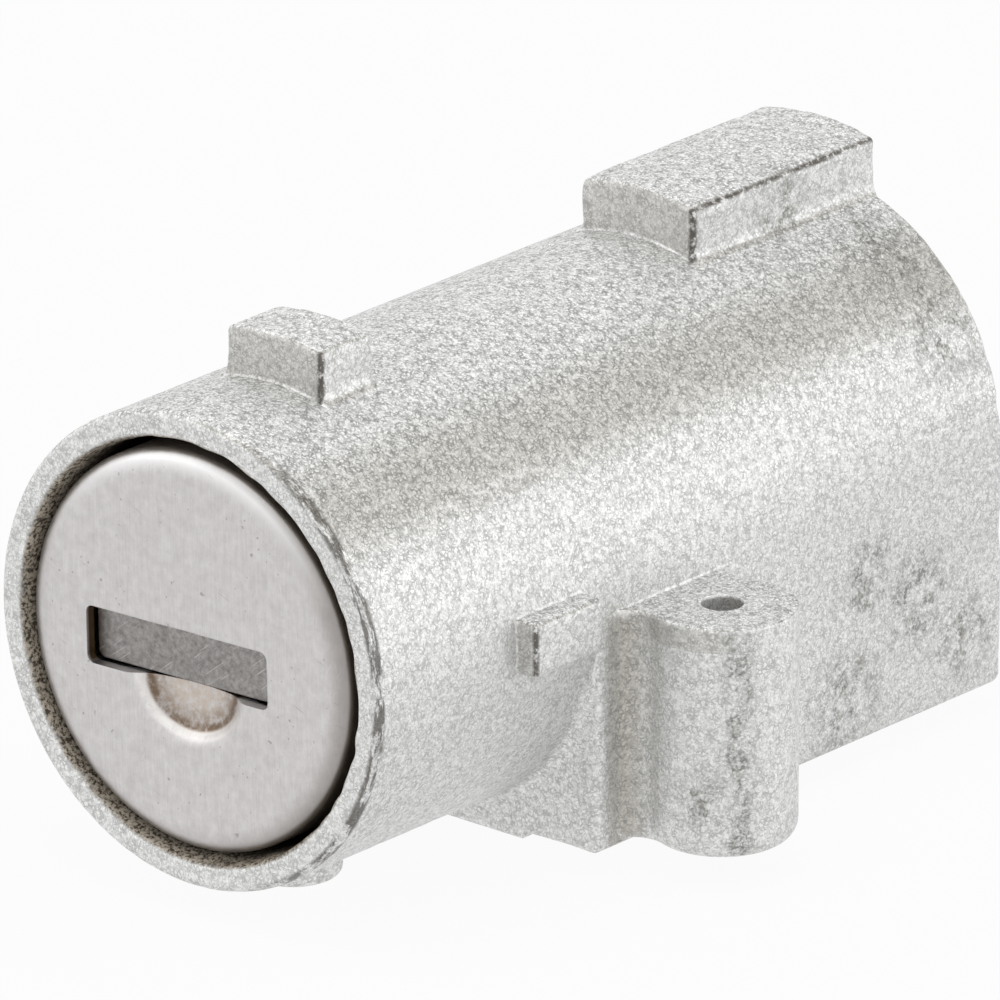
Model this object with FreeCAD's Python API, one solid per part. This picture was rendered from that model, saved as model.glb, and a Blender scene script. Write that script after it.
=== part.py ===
import FreeCAD, Part
import math
import os
from FreeCAD import Matrix, Rotation, Vector

os.makedirs("parts", exist_ok=True)

# Working frame: the lock's axis is Y with the key side at y = 0 facing -Y,
# X points to the side with the screw boss and Z points up.

# Outside of the housing
body_length = 39.15
front_edge_round = 0.35
rear_edge_round = 0.45
chassis_start = 13.5
chassis_drop = 10.25
chassis_corner_round = 0.5
chassis_edge_round = 0.3
wall_foot_round = 0.6
pad_half_width = 5.8
pad_rise = 0.42
pad_length = 7.4
pad_round = 0.28

# Locating lugs on the top and the stub under the nose
lug_edge_round = 0.35
lug_end_round = 0.21
lug_foot_round = 0.7
small_lug_start = 5.25
small_lug_length = 3.15
small_lug_half_width = 2.54
small_lug_rise = 2.05
big_lug_start = 27.6
big_lug_half_width = 3.0
big_lug_rise = 2.2
stub_y = 6.35
stub_radius = 2.0
stub_drop = 11.3
stub_round = 0.4

# Side tab and screw boss
tab_start = 8.5
tab_length = 4.2
tab_reach = 1.0
tab_top = 1.4
tab_bottom = 0.95
tab_edge_round = 0.3
boss_offset = 2.6
boss_y = 18.07
boss_radius = 3.1
boss_height = 10.0
boss_flare = 1.1
boss_foot_round = 0.9
boss_hole_radius = 0.88

# Bores of the housing
bay_wall = 1.13
bay_depth = 5.5
bay_edge_round = 0.25
core_radius = 6.5
running_gap = 0.05
end_gap = 0.2
roof_wall = 2.1

# Pressed cap with its key slot and thumb scoop
head_step = 1.9
cap_gap = 0.47
cap_shift_x = -0.2
cap_shift_z = -0.12
cap_recess = 0.12
cap_sheet = 0.5
cap_skirt = 3.0
cap_edge_round = 0.6
key_wall = 1.7
slot_width = 2.45
slot_x = -0.69
slot_z = -0.40
slot_round = 0.35
scoop_shift = 0.4
scoop_side = 1.9
scoop_drop = 2.25
scoop_depth = 1.4
press_gap = 0.03

# Plug, its dust shutter and the keyway
rest_turn = -1.7
head_end = 5.3
core_end = 21.0
keyway_margin = 0.2
shutter_sheet = 0.5
shutter_gap = 0.12
shutter_lip_gap = 0.1
hinge_drop = 0.88
hinge_rise = 1.13
knuckle_radius = 0.72
shutter_pin_radius = 0.35
shutter_pin_seat = 0.8
shutter_bay_margin = 0.4
shutter_bay_head = 0.3
hinge_coil_length = 2.0
hinge_coil_turns = 5
hinge_wire = 0.22

# Wafers and their springs
wafer_count = 7
wafer_start = 6.4
wafer_pitch = 1.5
wafer_sheet = 1.0
wafer_side_gap = 0.05
wafer_half_height = 2.9
wafer_throw = 0.6
wafer_code_step = 0.18
wafer_code = (0, 2, 1, 2, 0, 1, 2)
ear_from = 0.8
ear_length = 0.9
ear_rise = 1.15
spring_wire = 0.18
spring_radius = 0.46
spring_turns = 5
spring_length = 3.6

# Retaining pin, driver and drive pin
groove_start = 17.3
groove_depth = 1.05
retaining_pin_radius = 0.8
retaining_pin_top = 3.0
retaining_pin_sink = 0.3
driver_step = 0.5
tongue_half_height = 1.5
tongue_depth = 1.4
drive_rim = 0.8
drive_pin_radius = 1.2
drive_pin_chamfer = 0.24
drive_pin_seat = 3.0
plug_travel = 90.0

# Bolt and its spring
yoke_wall = 1.0
bolt_front = 28.2
bolt_thickness = 8.3
bolt_roof_gap = 0.3
bolt_sink = 0.4
bolt_bevel = 3.2
bolt_edge_round = 0.4
slide_gap = 0.1
yoke_gap = 0.16
yoke_depth = 3.4
yoke_corner_round = 1.3
yoke_end_gap = 0.2
bolt_spring_radius = 1.6
bolt_spring_wire = 0.4
bolt_spring_turns = 6
bolt_spring_y = 5.9
pocket_gap = 0.2
pocket_floor = 0.6

# How far a cutting solid reaches past the surface that it opens
past = 1.0

# Sizes that follow from the ones above
cap_radius = core_radius + head_step
bay_radius = cap_radius + cap_gap
body_radius = bay_radius + bay_wall
roof_radius = body_radius - roof_wall
small_lug_top = body_radius + small_lug_rise
big_lug_top = body_radius + big_lug_rise
slot_length = 2 * (core_radius - key_wall)
scoop_x = slot_x + scoop_shift
scoop_half_width = slot_length / 2 - scoop_side
core_bore = core_radius + running_gap
driver_start = core_end
driver_end = bolt_front - end_gap - slide_gap
chamber_front = bolt_front - slide_gap
chamber_back = bolt_front + bolt_thickness + slide_gap
head_front = cap_recess + cap_sheet
cap_shift = Vector(cap_shift_x, 0, cap_shift_z)
head_radius = cap_radius - cap_sheet - press_gap
slot_low = slot_z - slot_width / 2
slot_high = slot_z + slot_width / 2
slot_left = slot_x - slot_length / 2
slot_right = slot_x + slot_length / 2
shutter_front = head_front + shutter_gap
hinge_y = head_front + hinge_drop
hinge_z = slot_high + hinge_rise
spring_z = wafer_half_height + ear_rise / 2
driver_radius = core_radius - driver_step
drive_radius = driver_radius - drive_pin_radius - drive_rim
drive_angle = math.radians(plug_travel / 2)
bolt_half_width = drive_radius + drive_pin_radius + yoke_end_gap + yoke_wall
boss_x = body_radius + boss_offset
stand = Vector(-(boss_offset + boss_radius) / 2, -body_length / 2, stub_drop)

X, Y, Z = Vector(1, 0, 0), Vector(0, 1, 0), Vector(0, 0, 1)


def block(x0, x1, y0, y1, z0, z1):
    """Box between two limits on each axis."""
    return Part.makeBox(x1 - x0, y1 - y0, z1 - z0, Vector(x0, y0, z0))


def rod(radius, y0, y1, x=0.0, z=0.0):
    """Cylinder that runs along Y."""
    return Part.makeCylinder(radius, y1 - y0, Vector(x, y0, z), Y)


def post(radius, x, y, z0, z1):
    """Cylinder that stands along Z."""
    return Part.makeCylinder(radius, z1 - z0, Vector(x, y, z0), Z)


def ellipsoid(centre, half_x, half_y, half_z):
    """Ball stretched to three half widths."""
    stretch = Matrix()
    stretch.scale(half_x, half_y, half_z)
    ball = Part.makeSphere(1.0).transformGeometry(stretch)
    ball.translate(centre)
    return ball


def arc(start, middle, end):
    return Part.Arc(start, middle, end).toShape()


def line(start, end):
    return Part.LineSegment(start, end).toShape()


def corner(centre, radius, start_deg, end_deg, to_3d):
    """Arc of a rounded corner in a plane that to_3d maps into space."""
    angles = [math.radians(a) for a in (start_deg, (start_deg + end_deg) / 2, end_deg)]
    points = [to_3d(centre[0] + radius * math.cos(a), centre[1] + radius * math.sin(a)) for a in angles]
    return arc(*points), points[0], points[2]


def rounded_plate(x0, x1, z0, z1, radius, y0, y1):
    """Rectangle in X and Z with four round corners, drawn out along Y."""
    def place(x, z):
        return Vector(x, y0, z)

    corners = [
        corner((x1 - radius, z1 - radius), radius, 90, 0, place),
        corner((x1 - radius, z0 + radius), radius, 0, -90, place),
        corner((x0 + radius, z0 + radius), radius, -90, -180, place),
        corner((x0 + radius, z1 - radius), radius, 180, 90, place),
    ]
    edges = []
    for this, after in zip(corners, corners[1:] + corners[:1]):
        edges += [this[0], line(this[2], after[1])]
    return Part.Face(Part.Wire(edges)).extrude(Y * (y1 - y0))


def revolved(points_and_arcs):
    """Solid turned about Y from a closed outline of (radius, y) points.

    A triple of points in the list is an arc through them.
    """
    def place(point):
        return Vector(point[0], point[1], 0)

    edges = []
    last = None
    for item in points_and_arcs:
        first = item[0] if isinstance(item[0], tuple) else item
        if last is not None and last != first:
            edges.append(line(place(last), place(first)))
        if isinstance(item[0], tuple):
            edges.append(arc(*[place(p) for p in item]))
            last = item[2]
        else:
            last = item
    first = points_and_arcs[0]
    edges.append(line(place(last), place(first)))
    return Part.Face(Part.Wire(edges)).revolve(Vector(), Y, 360)


def round_arc(centre_r, centre_y, radius, start_deg, end_deg):
    """Three (radius, y) points of an arc, for revolved()."""
    middle = (start_deg + end_deg) / 2
    return tuple(
        (centre_r + radius * math.cos(math.radians(a)), centre_y + radius * math.sin(math.radians(a)))
        for a in (start_deg, middle, end_deg)
    )


def edges_at(shape, test):
    """Edges whose every vertex passes a test."""
    return [e for e in shape.Edges if all(test(v.Point) for v in e.Vertexes)]


def helix_spring(radius, wire, length, turns, start, axis):
    """Compression spring of square-section wire, seated flat at both ends."""
    pitch = (length - wire) / turns
    path = Part.makeHelix(pitch, length - wire, radius - wire / 2)
    half = wire / 2
    mid = radius - half
    section = Part.makePolygon([
        Vector(mid - half, 0, -half),
        Vector(mid + half, 0, -half),
        Vector(mid + half, 0, half),
        Vector(mid - half, 0, half),
        Vector(mid - half, 0, -half),
    ])
    coil = path.makePipeShell([section], True, True)
    coil.translate(Z * half)
    coil.rotate(Vector(), *turn_to(axis))
    coil.translate(start)
    return coil


def turn_to(axis):
    """Axis and angle of the turn that takes Z to another direction."""
    turn = Rotation(Z, axis)
    return turn.Axis, math.degrees(turn.Angle)


def barrel():
    """Turned outside of the nose, with its front edge rounded."""
    r = front_edge_round
    end = chassis_start + wall_foot_round + chassis_edge_round
    return revolved([(0, 0), round_arc(body_radius - r, r, r, -90, 0), (body_radius, end), (0, end)])


def chassis():
    """Arched block behind the nose: half round above, square below."""
    r = chassis_corner_round
    half = body_radius

    def place(x, z):
        return Vector(x, chassis_start, z)

    right = corner((half - r, r - chassis_drop), r, 0, -90, place)
    left = corner((r - half, r - chassis_drop), r, -90, -180, place)
    top = arc(place(-half, 0), place(0, half), place(half, 0))
    edges = [top, line(place(half, 0), right[1]), right[0], line(right[2], left[1]), left[0]]
    edges.append(line(left[2], place(-half, 0)))
    body = Part.Face(Part.Wire(edges)).extrude(Y * (body_length - chassis_start))
    rear = edges_at(body, lambda p: abs(p.y - body_length) < 1e-6)
    body = body.makeFillet(rear_edge_round, rear)
    front = edges_at(body, lambda p: abs(p.y - chassis_start) < 1e-6)
    return body.makeFillet(chassis_edge_round, front)


def wall_foot():
    """Hollow round where the front wall meets the nose."""
    r = wall_foot_round
    inner = body_radius - r
    ring = revolved([
        (inner, chassis_start + r),
        (inner, chassis_start - r),
        (body_radius, chassis_start - r),
        round_arc(body_radius + r, chassis_start - r, r, 180, 90),
        (body_radius + r, chassis_start + r),
    ])
    side = body_radius - chassis_edge_round
    low = chassis_edge_round - chassis_drop
    return ring.common(block(-side, side, chassis_start - r, chassis_start + r, low, 0))


def pad():
    """Raised land in the middle of the underside."""
    low = -chassis_drop - pad_rise
    body = block(-pad_half_width, pad_half_width, chassis_start, chassis_start + pad_length, low, 0)
    under = edges_at(body, lambda p: abs(p.z - low) < 1e-6)
    return body.makeFillet(pad_round, under)


def lug(start, end, half_width, top):
    """Locating lug on the top: arched crown, round edges and hollow feet."""
    r = lug_edge_round
    foot = lug_foot_round
    corner_x = half_width - r
    corner_z = math.sqrt((top - r) ** 2 - corner_x ** 2)
    out = math.atan2(corner_z, corner_x)
    foot_x = half_width + foot
    foot_z = math.sqrt((body_radius + foot) ** 2 - foot_x ** 2)
    to_axis = math.atan2(foot_z, foot_x)

    def place(x, z):
        return Vector(x, start, z)

    def both(side):
        """Points from the crown down to the barrel on one side."""
        crown = place(side * top * math.cos(out), top * math.sin(out))
        half_out = out / 2
        bend = place(side * (corner_x + r * math.cos(half_out)), corner_z + r * math.sin(half_out))
        edge = place(side * half_width, corner_z)
        knee = place(side * half_width, foot_z)
        mid = (math.pi + to_axis + math.pi) / 2
        hollow = place(side * (foot_x + foot * math.cos(mid)), foot_z + foot * math.sin(mid))
        seat = place(side * body_radius * math.cos(to_axis), body_radius * math.sin(to_axis))
        return crown, bend, edge, knee, hollow, seat

    right, left = both(1), both(-1)
    low = place(0, body_radius / 2)
    edges = [
        arc(left[0], place(0, top), right[0]),
        arc(*right[:3]), line(right[2], right[3]), arc(*right[3:]),
        line(right[5], low), line(low, left[5]),
        arc(left[5], left[4], left[3]), line(left[3], left[2]), arc(left[2], left[1], left[0]),
    ]
    body = Part.Face(Part.Wire(edges)).extrude(Y * (end - start))
    rise = body_radius + foot / 2

    def on_end(y):
        return edges_at(body, lambda p: abs(p.y - y) < 1e-6 and p.z > rise)

    return body.makeFillet(lug_end_round, on_end(start) + on_end(end))


def stub():
    """Short round stub under the nose, on which the front rests."""
    body = post(stub_radius, 0, stub_y, -stub_drop, -body_radius / 2)
    rim = edges_at(body, lambda p: abs(p.z + stub_drop) < 1e-6)
    return body.makeFillet(stub_round, rim)


def tab():
    """Small tab on the side of the nose, level with the axis."""
    end = tab_start + tab_length
    reach = body_radius + tab_reach
    body = block(body_radius / 2, reach, tab_start, end, -tab_bottom, tab_top)
    outer = edges_at(body, lambda p: abs(p.x - reach) < 1e-6)
    return body.makeFillet(tab_edge_round, outer)


def boss():
    """Screw boss with hollow flares into the side wall."""
    reach = boss_radius + boss_flare
    rise = math.sqrt(reach ** 2 - (boss_offset - boss_flare) ** 2)
    flare_x = body_radius + boss_flare
    lean = math.atan2(rise, boss_offset - boss_flare)
    inner = body_radius / 2

    def place(x, y):
        return Vector(x, y, -boss_height)

    def flare(side):
        """Wall point, middle and boss point of one flare."""
        centre_y = boss_y + side * rise
        wall = place(body_radius, centre_y)
        middle = place(
            flare_x - boss_flare * math.cos(lean / 2),
            centre_y - side * boss_flare * math.sin(lean / 2),
        )
        touch = place(boss_x - boss_radius * math.cos(lean), boss_y + side * boss_radius * math.sin(lean))
        return wall, middle, touch

    near, far = flare(-1), flare(1)
    edges = [
        arc(*near), arc(near[2], place(boss_x + boss_radius, boss_y), far[2]), arc(*far[::-1]),
        line(far[0], place(inner, far[0].y)), line(place(inner, far[0].y), place(inner, near[0].y)),
        line(place(inner, near[0].y), near[0]),
    ]
    body = Part.Face(Part.Wire(edges)).extrude(Z * boss_height)

    foot = edges_at(body, lambda p: abs(p.z + boss_height) < 1e-6)
    curved = [e for e in foot if e.Curve.TypeId == "Part::GeomCircle"]
    return body.makeFillet(boss_foot_round, curved)


def bores():
    """Everything that is cored out of the housing."""
    r = bay_edge_round
    bay = revolved([
        (0, -r), (bay_radius + r, -r), (bay_radius + r, 0),
        round_arc(bay_radius + r, r, r, -90, -180), (bay_radius, bay_depth), (0, bay_depth),
    ])
    core = rod(core_bore, 0, core_end + end_gap)
    tail = rod(driver_radius + running_gap, core_end, chamber_back - bolt_thickness)
    room = wafer_throw + end_gap
    grooves = block(
        -core_radius - room, core_radius + room,
        wafer_start - end_gap, wafer_start + (wafer_count - 1) * wafer_pitch + wafer_sheet + end_gap,
        -wafer_half_height - room, wafer_half_height + room,
    )
    wide = bolt_half_width + slide_gap
    below = -chassis_drop - pad_rise - past
    chamber = block(-wide, wide, chamber_front, chamber_back, below, 0).fuse(
        rod(roof_radius, chamber_front, chamber_back).common(
            block(-wide, wide, chamber_front, chamber_back, 0, roof_radius)
        )
    )
    pin = retaining_pin_hole(0.0)
    hole = post(boss_hole_radius, boss_x, boss_y, -boss_height - past, past)
    return bay.multiFuse([core, tail, grooves, chamber, pin, hole])


def retaining_pin_hole(short):
    """Straight hole from the underside, a tangent to the plug's groove."""
    y = groove_start + retaining_pin_radius + wafer_side_gap
    return post(retaining_pin_radius, -core_radius, y, -chassis_drop - past + short, retaining_pin_top)


def housing():
    """Die-cast housing in one piece."""
    outside = chassis().multiFuse([
        barrel(),
        wall_foot(),
        pad(),
        lug(small_lug_start, small_lug_start + small_lug_length, small_lug_half_width, small_lug_top),
        lug(big_lug_start, body_length, big_lug_half_width, big_lug_top),
        stub(),
        tab(),
        boss(),
    ])
    return outside.cut(bores()).removeSplitter()


def slot_prism(y0, y1, margin=0.0):
    """Key slot as a solid, to cut with."""
    return rounded_plate(
        slot_left + margin, slot_right - margin, slot_low + margin, slot_high - margin,
        slot_round, y0, y1,
    )


def scoop(extra):
    """Ellipsoid of the thumb scoop, grown by extra."""
    return ellipsoid(
        Vector(scoop_x, cap_recess, slot_low),
        scoop_half_width + extra, scoop_depth + extra, scoop_drop + extra,
    )


def cap():
    """Pressed cap, a little off the axis: rolled edge, skirt, key slot and scoop."""
    r = cap_edge_round
    t = cap_sheet
    face = cap_recess
    inner = max(r - t, t / 4)
    back = face + cap_skirt
    cup = revolved([
        (0, face),
        round_arc(cap_radius - r, face + r, r, -90, 0),
        (cap_radius, back),
        (cap_radius - t, back),
        round_arc(cap_radius - t - inner, face + t + inner, inner, 0, -90),
        (0, face + t),
    ])
    cup.translate(cap_shift)
    behind = block(-cap_radius, cap_radius, face + t / 2, back, -cap_radius, slot_low)
    pressed = scoop(t).common(behind)
    cut = slot_prism(face - past, back)
    return cup.fuse(pressed).cut(scoop(0.0)).cut(cut).removeSplitter()


def shutter_bay():
    """Space behind the slot in which the shutter swings."""
    reach = hinge_z - slot_low + shutter_gap
    wide = shutter_bay_margin
    return block(
        slot_left - wide, slot_right + wide, head_front - past, hinge_y + reach,
        slot_low - shutter_gap, hinge_z + knuckle_radius + shutter_bay_head,
    )


def wafer_slot(index):
    """Slot in the plug for one wafer, with the room for its spring."""
    y0 = wafer_start + index * wafer_pitch - wafer_side_gap
    y1 = y0 + wafer_sheet + 2 * wafer_side_gap
    high = wafer_half_height + wafer_side_gap
    slot = block(-core_radius - past, core_radius + past, y0, y1, -high, high)
    start = ear_from - spring_length
    stop = ear_from + ear_length + wafer_throw + wafer_side_gap
    room = block(start, stop, y0, y1, 0, wafer_half_height + ear_rise + wafer_side_gap)
    return slot.fuse(mirrored(room, index))


def mirrored(shape, index):
    """Every second wafer faces the other way."""
    return shape if index % 2 == 0 else shape.mirror(Vector(), X)


def plug():
    """Lock plug: head, core with seven wafer slots, groove and tongue slot."""
    cuts = [shutter_bay(), scoop(cap_sheet + press_gap), slot_prism(head_front, groove_start, keyway_margin)]
    cuts += [wafer_slot(i) for i in range(wafer_count)]
    cuts.append(tongue(wafer_side_gap))
    cuts.append(hinge_rod(shutter_pin_radius + press_gap / 3, shutter_pin_seat + press_gap))
    return carve(plug_blank(), cuts)


def plug_blank():
    """Turned core of the plug with the head that carries the cap."""
    c = cap_edge_round - cap_sheet + press_gap
    groove_r = core_radius - groove_depth
    groove_end = groove_start + 2 * (retaining_pin_radius + wafer_side_gap)
    head = revolved([
        (0, head_front), (head_radius - c, head_front), (head_radius, head_front + c),
        (head_radius, head_end), (0, head_end),
    ])
    head.translate(cap_shift)
    core = revolved([
        (0, head_end), (core_radius, head_end), (core_radius, groove_start),
        (groove_r, groove_start), (groove_r, groove_end), (core_radius, groove_end),
        (core_radius, core_end), (0, core_end),
    ])
    return head.fuse(core)


def carve(body, cuts):
    """Cut one solid after the other."""
    for cut in cuts:
        body = body.cut(cut)
    return body.removeSplitter()


def tongue(gap):
    """Cross tongue between plug and driver, grown by gap."""
    reach = driver_radius + core_radius if gap else driver_radius
    high = tongue_half_height + gap
    bar = block(-reach, reach, core_end - tongue_depth - gap, core_end, -high, high)
    return bar if gap else bar.common(rod(driver_radius, core_end - tongue_depth, core_end))


def hinge_rod(radius, seat):
    """Rod on the shutter's axis that reaches into both walls of its bay."""
    out = shutter_bay_margin + seat
    length = slot_length + 2 * out
    return Part.makeCylinder(radius, length, Vector(slot_left - out, hinge_y, hinge_z), X)


def shutter():
    """Dust shutter: flat leaf with two knuckles."""
    low = slot_low + shutter_lip_gap
    leaf = rounded_plate(
        slot_left + shutter_lip_gap, slot_right - shutter_lip_gap, low, hinge_z, slot_round,
        shutter_front, shutter_front + shutter_sheet,
    )
    length = slot_length - 2 * shutter_lip_gap
    knuckle = Part.makeCylinder(
        knuckle_radius, length, Vector(slot_left + shutter_lip_gap, hinge_y, hinge_z), X
    )
    half = hinge_coil_length / 2
    window = block(
        slot_x - half, slot_x + half, shutter_front - past, hinge_y + knuckle_radius + past,
        hinge_z - knuckle_radius - shutter_gap, hinge_z + knuckle_radius + past,
    )
    bore = Part.makeCylinder(
        shutter_pin_radius + running_gap, length, Vector(slot_left + shutter_lip_gap, hinge_y, hinge_z), X
    )
    return leaf.fuse(knuckle).cut(window).cut(bore).removeSplitter()


def shutter_spring():
    """Torsion coil on the shutter's pin, with one leg up and one leg down."""
    inner = shutter_pin_radius + running_gap
    outer = inner + hinge_wire
    length = hinge_coil_length - 2 * shutter_gap
    start = slot_x - length / 2
    coil = helix_spring(outer, hinge_wire, length, hinge_coil_turns, Vector(start, hinge_y, hinge_z), X)
    mid = outer - hinge_wire / 2
    half = hinge_wire / 2
    top = hinge_z + knuckle_radius + shutter_bay_head
    up = block(start, start + hinge_wire, hinge_y + mid - half, hinge_y + mid + half, hinge_z, top)
    low = slot_low + shutter_lip_gap + slot_width / 2
    leaf_back = shutter_front + shutter_sheet
    end = start + length - hinge_wire
    down = block(end, end + hinge_wire, leaf_back, leaf_back + hinge_wire, low, hinge_z - inner)
    return coil.fuse(up).fuse(down).removeSplitter()


def wafer(index):
    """Brass wafer: round ends, key window and a spring ear."""
    y0 = wafer_start + index * wafer_pitch
    radius = core_radius - running_gap
    plate = rod(radius, y0, y0 + wafer_sheet).common(
        block(-radius, radius, y0, y0 + wafer_sheet, -wafer_half_height, wafer_half_height)
    )
    ear = block(
        ear_from, ear_from + ear_length, y0, y0 + wafer_sheet,
        wafer_half_height - ear_length, wafer_half_height + ear_rise,
    )
    side = 1 if index % 2 == 0 else -1
    window = slot_prism(y0 - past, y0 + wafer_sheet + past, keyway_margin)
    window.translate(X * side * wafer_code[index % len(wafer_code)] * wafer_code_step)
    return plate.fuse(mirrored(ear, index)).cut(window).removeSplitter()


def wafer_spring(index):
    """Spring that pushes one wafer out into the housing."""
    y = wafer_start + index * wafer_pitch + wafer_sheet / 2
    seat = Vector(ear_from - spring_length, y, spring_z)
    coil = helix_spring(spring_radius, spring_wire, spring_length, spring_turns, seat, X)
    return mirrored(coil, index)


def retaining_pin():
    """Pin that keeps the plug in the housing and lets it turn."""
    return retaining_pin_hole(past + retaining_pin_sink)


def driver():
    """Driver behind the plug, with the tongue in front."""
    body = rod(driver_radius, driver_start, driver_end).fuse(tongue(0.0))
    return body.removeSplitter()


def drive_centre():
    """Centre of the drive pin when the bolt is drawn in."""
    return drive_radius * math.cos(drive_angle), drive_radius * math.sin(drive_angle)


def drive_pin():
    """Eccentric pin, pressed into the driver, that works in the bolt's slot."""
    x, z = drive_centre()
    end = bolt_front + yoke_depth - end_gap
    pin = rod(drive_pin_radius, driver_end - drive_pin_seat, end, x, z)
    tip = edges_at(pin, lambda p: abs(p.y - end) < 1e-6)
    return pin.makeChamfer(drive_pin_chamfer, tip)


def bolt():
    """Sliding bolt: arched head, yoke slot, spring pocket and sloped nose."""
    wide = bolt_half_width
    back = bolt_front + bolt_thickness
    low = bolt_sink - chassis_drop
    lower = block(-wide, wide, bolt_front, back, low, 0)
    arch = rod(roof_radius - bolt_roof_gap, bolt_front, back).common(
        block(-wide, wide, bolt_front, back, 0, roof_radius)
    )
    body = lower.fuse(arch).removeSplitter()

    def stands(edge):
        """Whether an edge rises from the bolt's lower face."""
        on_foot = [abs(v.Point.z - low) < 1e-6 for v in edge.Vertexes]
        return sorted(on_foot) == [False, True]

    body = body.makeFillet(bolt_edge_round, [e for e in body.Edges if stands(e)])
    side = -wide - past
    slope = Part.Face(Part.makePolygon([
        Vector(side, back + past, low - past),
        Vector(side, back + past, low + bolt_bevel + past),
        Vector(side, back - bolt_bevel - past, low - past),
        Vector(side, back + past, low - past),
    ])).extrude(X * -side * 2)
    return body.cut(slope).cut(yoke()).cut(spring_pocket()).removeSplitter()


def yoke():
    """Level slot in the bolt's front for the drive pin."""
    x, z = drive_centre()
    half = drive_pin_radius + yoke_gap
    return rounded_plate(
        x - drive_pin_radius - yoke_end_gap, drive_radius + drive_pin_radius + yoke_end_gap,
        z - half, z + half, yoke_corner_round, bolt_front - past, bolt_front + yoke_depth,
    )


def spring_pocket():
    """Blind bore in the bolt's head for its spring."""
    y = bolt_front + bolt_spring_y
    return post(bolt_spring_radius + pocket_gap, 0, y, pocket_floor, roof_radius)


def bolt_spring():
    """Spring between the bolt and the roof of its chamber."""
    y = bolt_front + bolt_spring_y
    side = bolt_spring_radius
    top = math.sqrt(roof_radius ** 2 - side ** 2)
    return helix_spring(
        bolt_spring_radius, bolt_spring_wire, top - pocket_floor, bolt_spring_turns,
        Vector(0, y, pocket_floor), Z,
    )


def turned(shape):
    """The plug and what is in it rest a little off square."""
    shape.rotate(Vector(), Y, rest_turn)
    return shape


def pieces():
    """Name and shape of every piece, in the working frame."""
    made = {"housing": housing(), "retaining_pin": retaining_pin()}
    made["cap"] = turned(cap())
    made["plug"] = turned(plug())
    made["shutter"] = turned(shutter())
    made["shutter_pin"] = turned(hinge_rod(shutter_pin_radius, shutter_pin_seat))
    made["shutter_spring"] = turned(shutter_spring())
    for i in range(wafer_count):
        made[f"wafer_{i + 1}"] = turned(wafer(i))
        made[f"wafer_spring_{i + 1}"] = turned(wafer_spring(i))
    made["drive_pin"] = drive_pin()
    made["driver"] = turned(driver()).cut(made["drive_pin"])
    made["bolt"] = bolt()
    made["bolt_spring"] = bolt_spring()
    return made


for name, shape in pieces().items():
    shape.translate(stand)
    shape.exportStep(f"parts/{name}.step")
    facts = f"{shape.ShapeType}, {len(shape.Solids)} solid, {shape.Volume:.2f} mm3"
    print(f"{name}: {facts}, valid {shape.isValid()}")
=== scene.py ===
"""Looks of the bike battery lock: cast housing, pressed cap, finishes, studio and camera."""

import logging
import math
from dataclasses import dataclass, field
from enum import Enum
from typing import Iterable

import bmesh
import bpy
import numpy as np
from mathutils import Matrix, Vector


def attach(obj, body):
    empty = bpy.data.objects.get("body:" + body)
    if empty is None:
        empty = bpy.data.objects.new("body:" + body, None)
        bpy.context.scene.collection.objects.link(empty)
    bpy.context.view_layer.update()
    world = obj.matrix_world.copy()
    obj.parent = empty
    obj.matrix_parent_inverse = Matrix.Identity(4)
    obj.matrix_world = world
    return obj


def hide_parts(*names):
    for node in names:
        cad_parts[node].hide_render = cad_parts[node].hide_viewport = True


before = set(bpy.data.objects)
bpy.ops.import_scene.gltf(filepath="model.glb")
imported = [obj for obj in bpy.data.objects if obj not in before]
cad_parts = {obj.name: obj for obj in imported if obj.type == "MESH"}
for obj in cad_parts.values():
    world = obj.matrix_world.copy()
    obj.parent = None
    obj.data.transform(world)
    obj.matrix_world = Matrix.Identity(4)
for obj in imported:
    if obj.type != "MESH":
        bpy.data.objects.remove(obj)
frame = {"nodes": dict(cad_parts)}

LOG = logging.getLogger("lock")
MM = 0.001
STAND = np.array([-2.85, -19.575, 11.3])
REST_TURN = math.radians(-1.7)


class Axis(Enum):
    """Row axis that a profile is carried along."""

    X = 0
    Y = 1
    Z = 2


class Join(Enum):
    """How solids are put together."""

    ADD = "UNION"
    CUT = "DIFFERENCE"


def linear(code: str) -> tuple[float, float, float, float]:
    """Turn an sRGB hex colour into a linear one.

    Each channel is divided by 12.92 below 0.04045, and is otherwise
    ((c + 0.055) / 1.055) to the power 2.4.

    Args:
        code: Colour as six hex digits after a hash.

    Returns:
        Linear red, green, blue and an alpha of 1.
    """
    channels = np.array([int(code[i:i + 2], 16) for i in (1, 3, 5)]) / 255.0
    bent = np.where(channels <= 0.04045, channels / 12.92, ((channels + 0.055) / 1.055) ** 2.4)
    return (*(float(c) for c in bent), 1.0)


def per_mm(size: float) -> float:
    """Pattern scale at which one cell is so many millimetres wide."""
    return 1.0 / (size * MM)


def spot(x: float, y: float, z: float) -> tuple[float, float, float]:
    """Point of the lock's own axes, in millimetres, as row coordinates in metres."""
    return tuple(float(c) for c in (np.array([x, y, z]) + STAND) * MM)


# Shapes


def arc(centre: tuple[float, float], radius: float, start: float, end: float, count: int) -> np.ndarray:
    """Points of a circle's arc: centre plus radius times cosine and sine of even angles.

    Args:
        centre: Centre in the plane of the outline.
        radius: Radius in millimetres.
        start: First angle in degrees.
        end: Last angle in degrees.
        count: Number of points.

    Returns:
        Array of shape (count, 2).
    """
    angle = np.radians(np.linspace(start, end, count))
    return np.stack([centre[0] + radius * np.cos(angle), centre[1] + radius * np.sin(angle)], axis=1)


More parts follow.
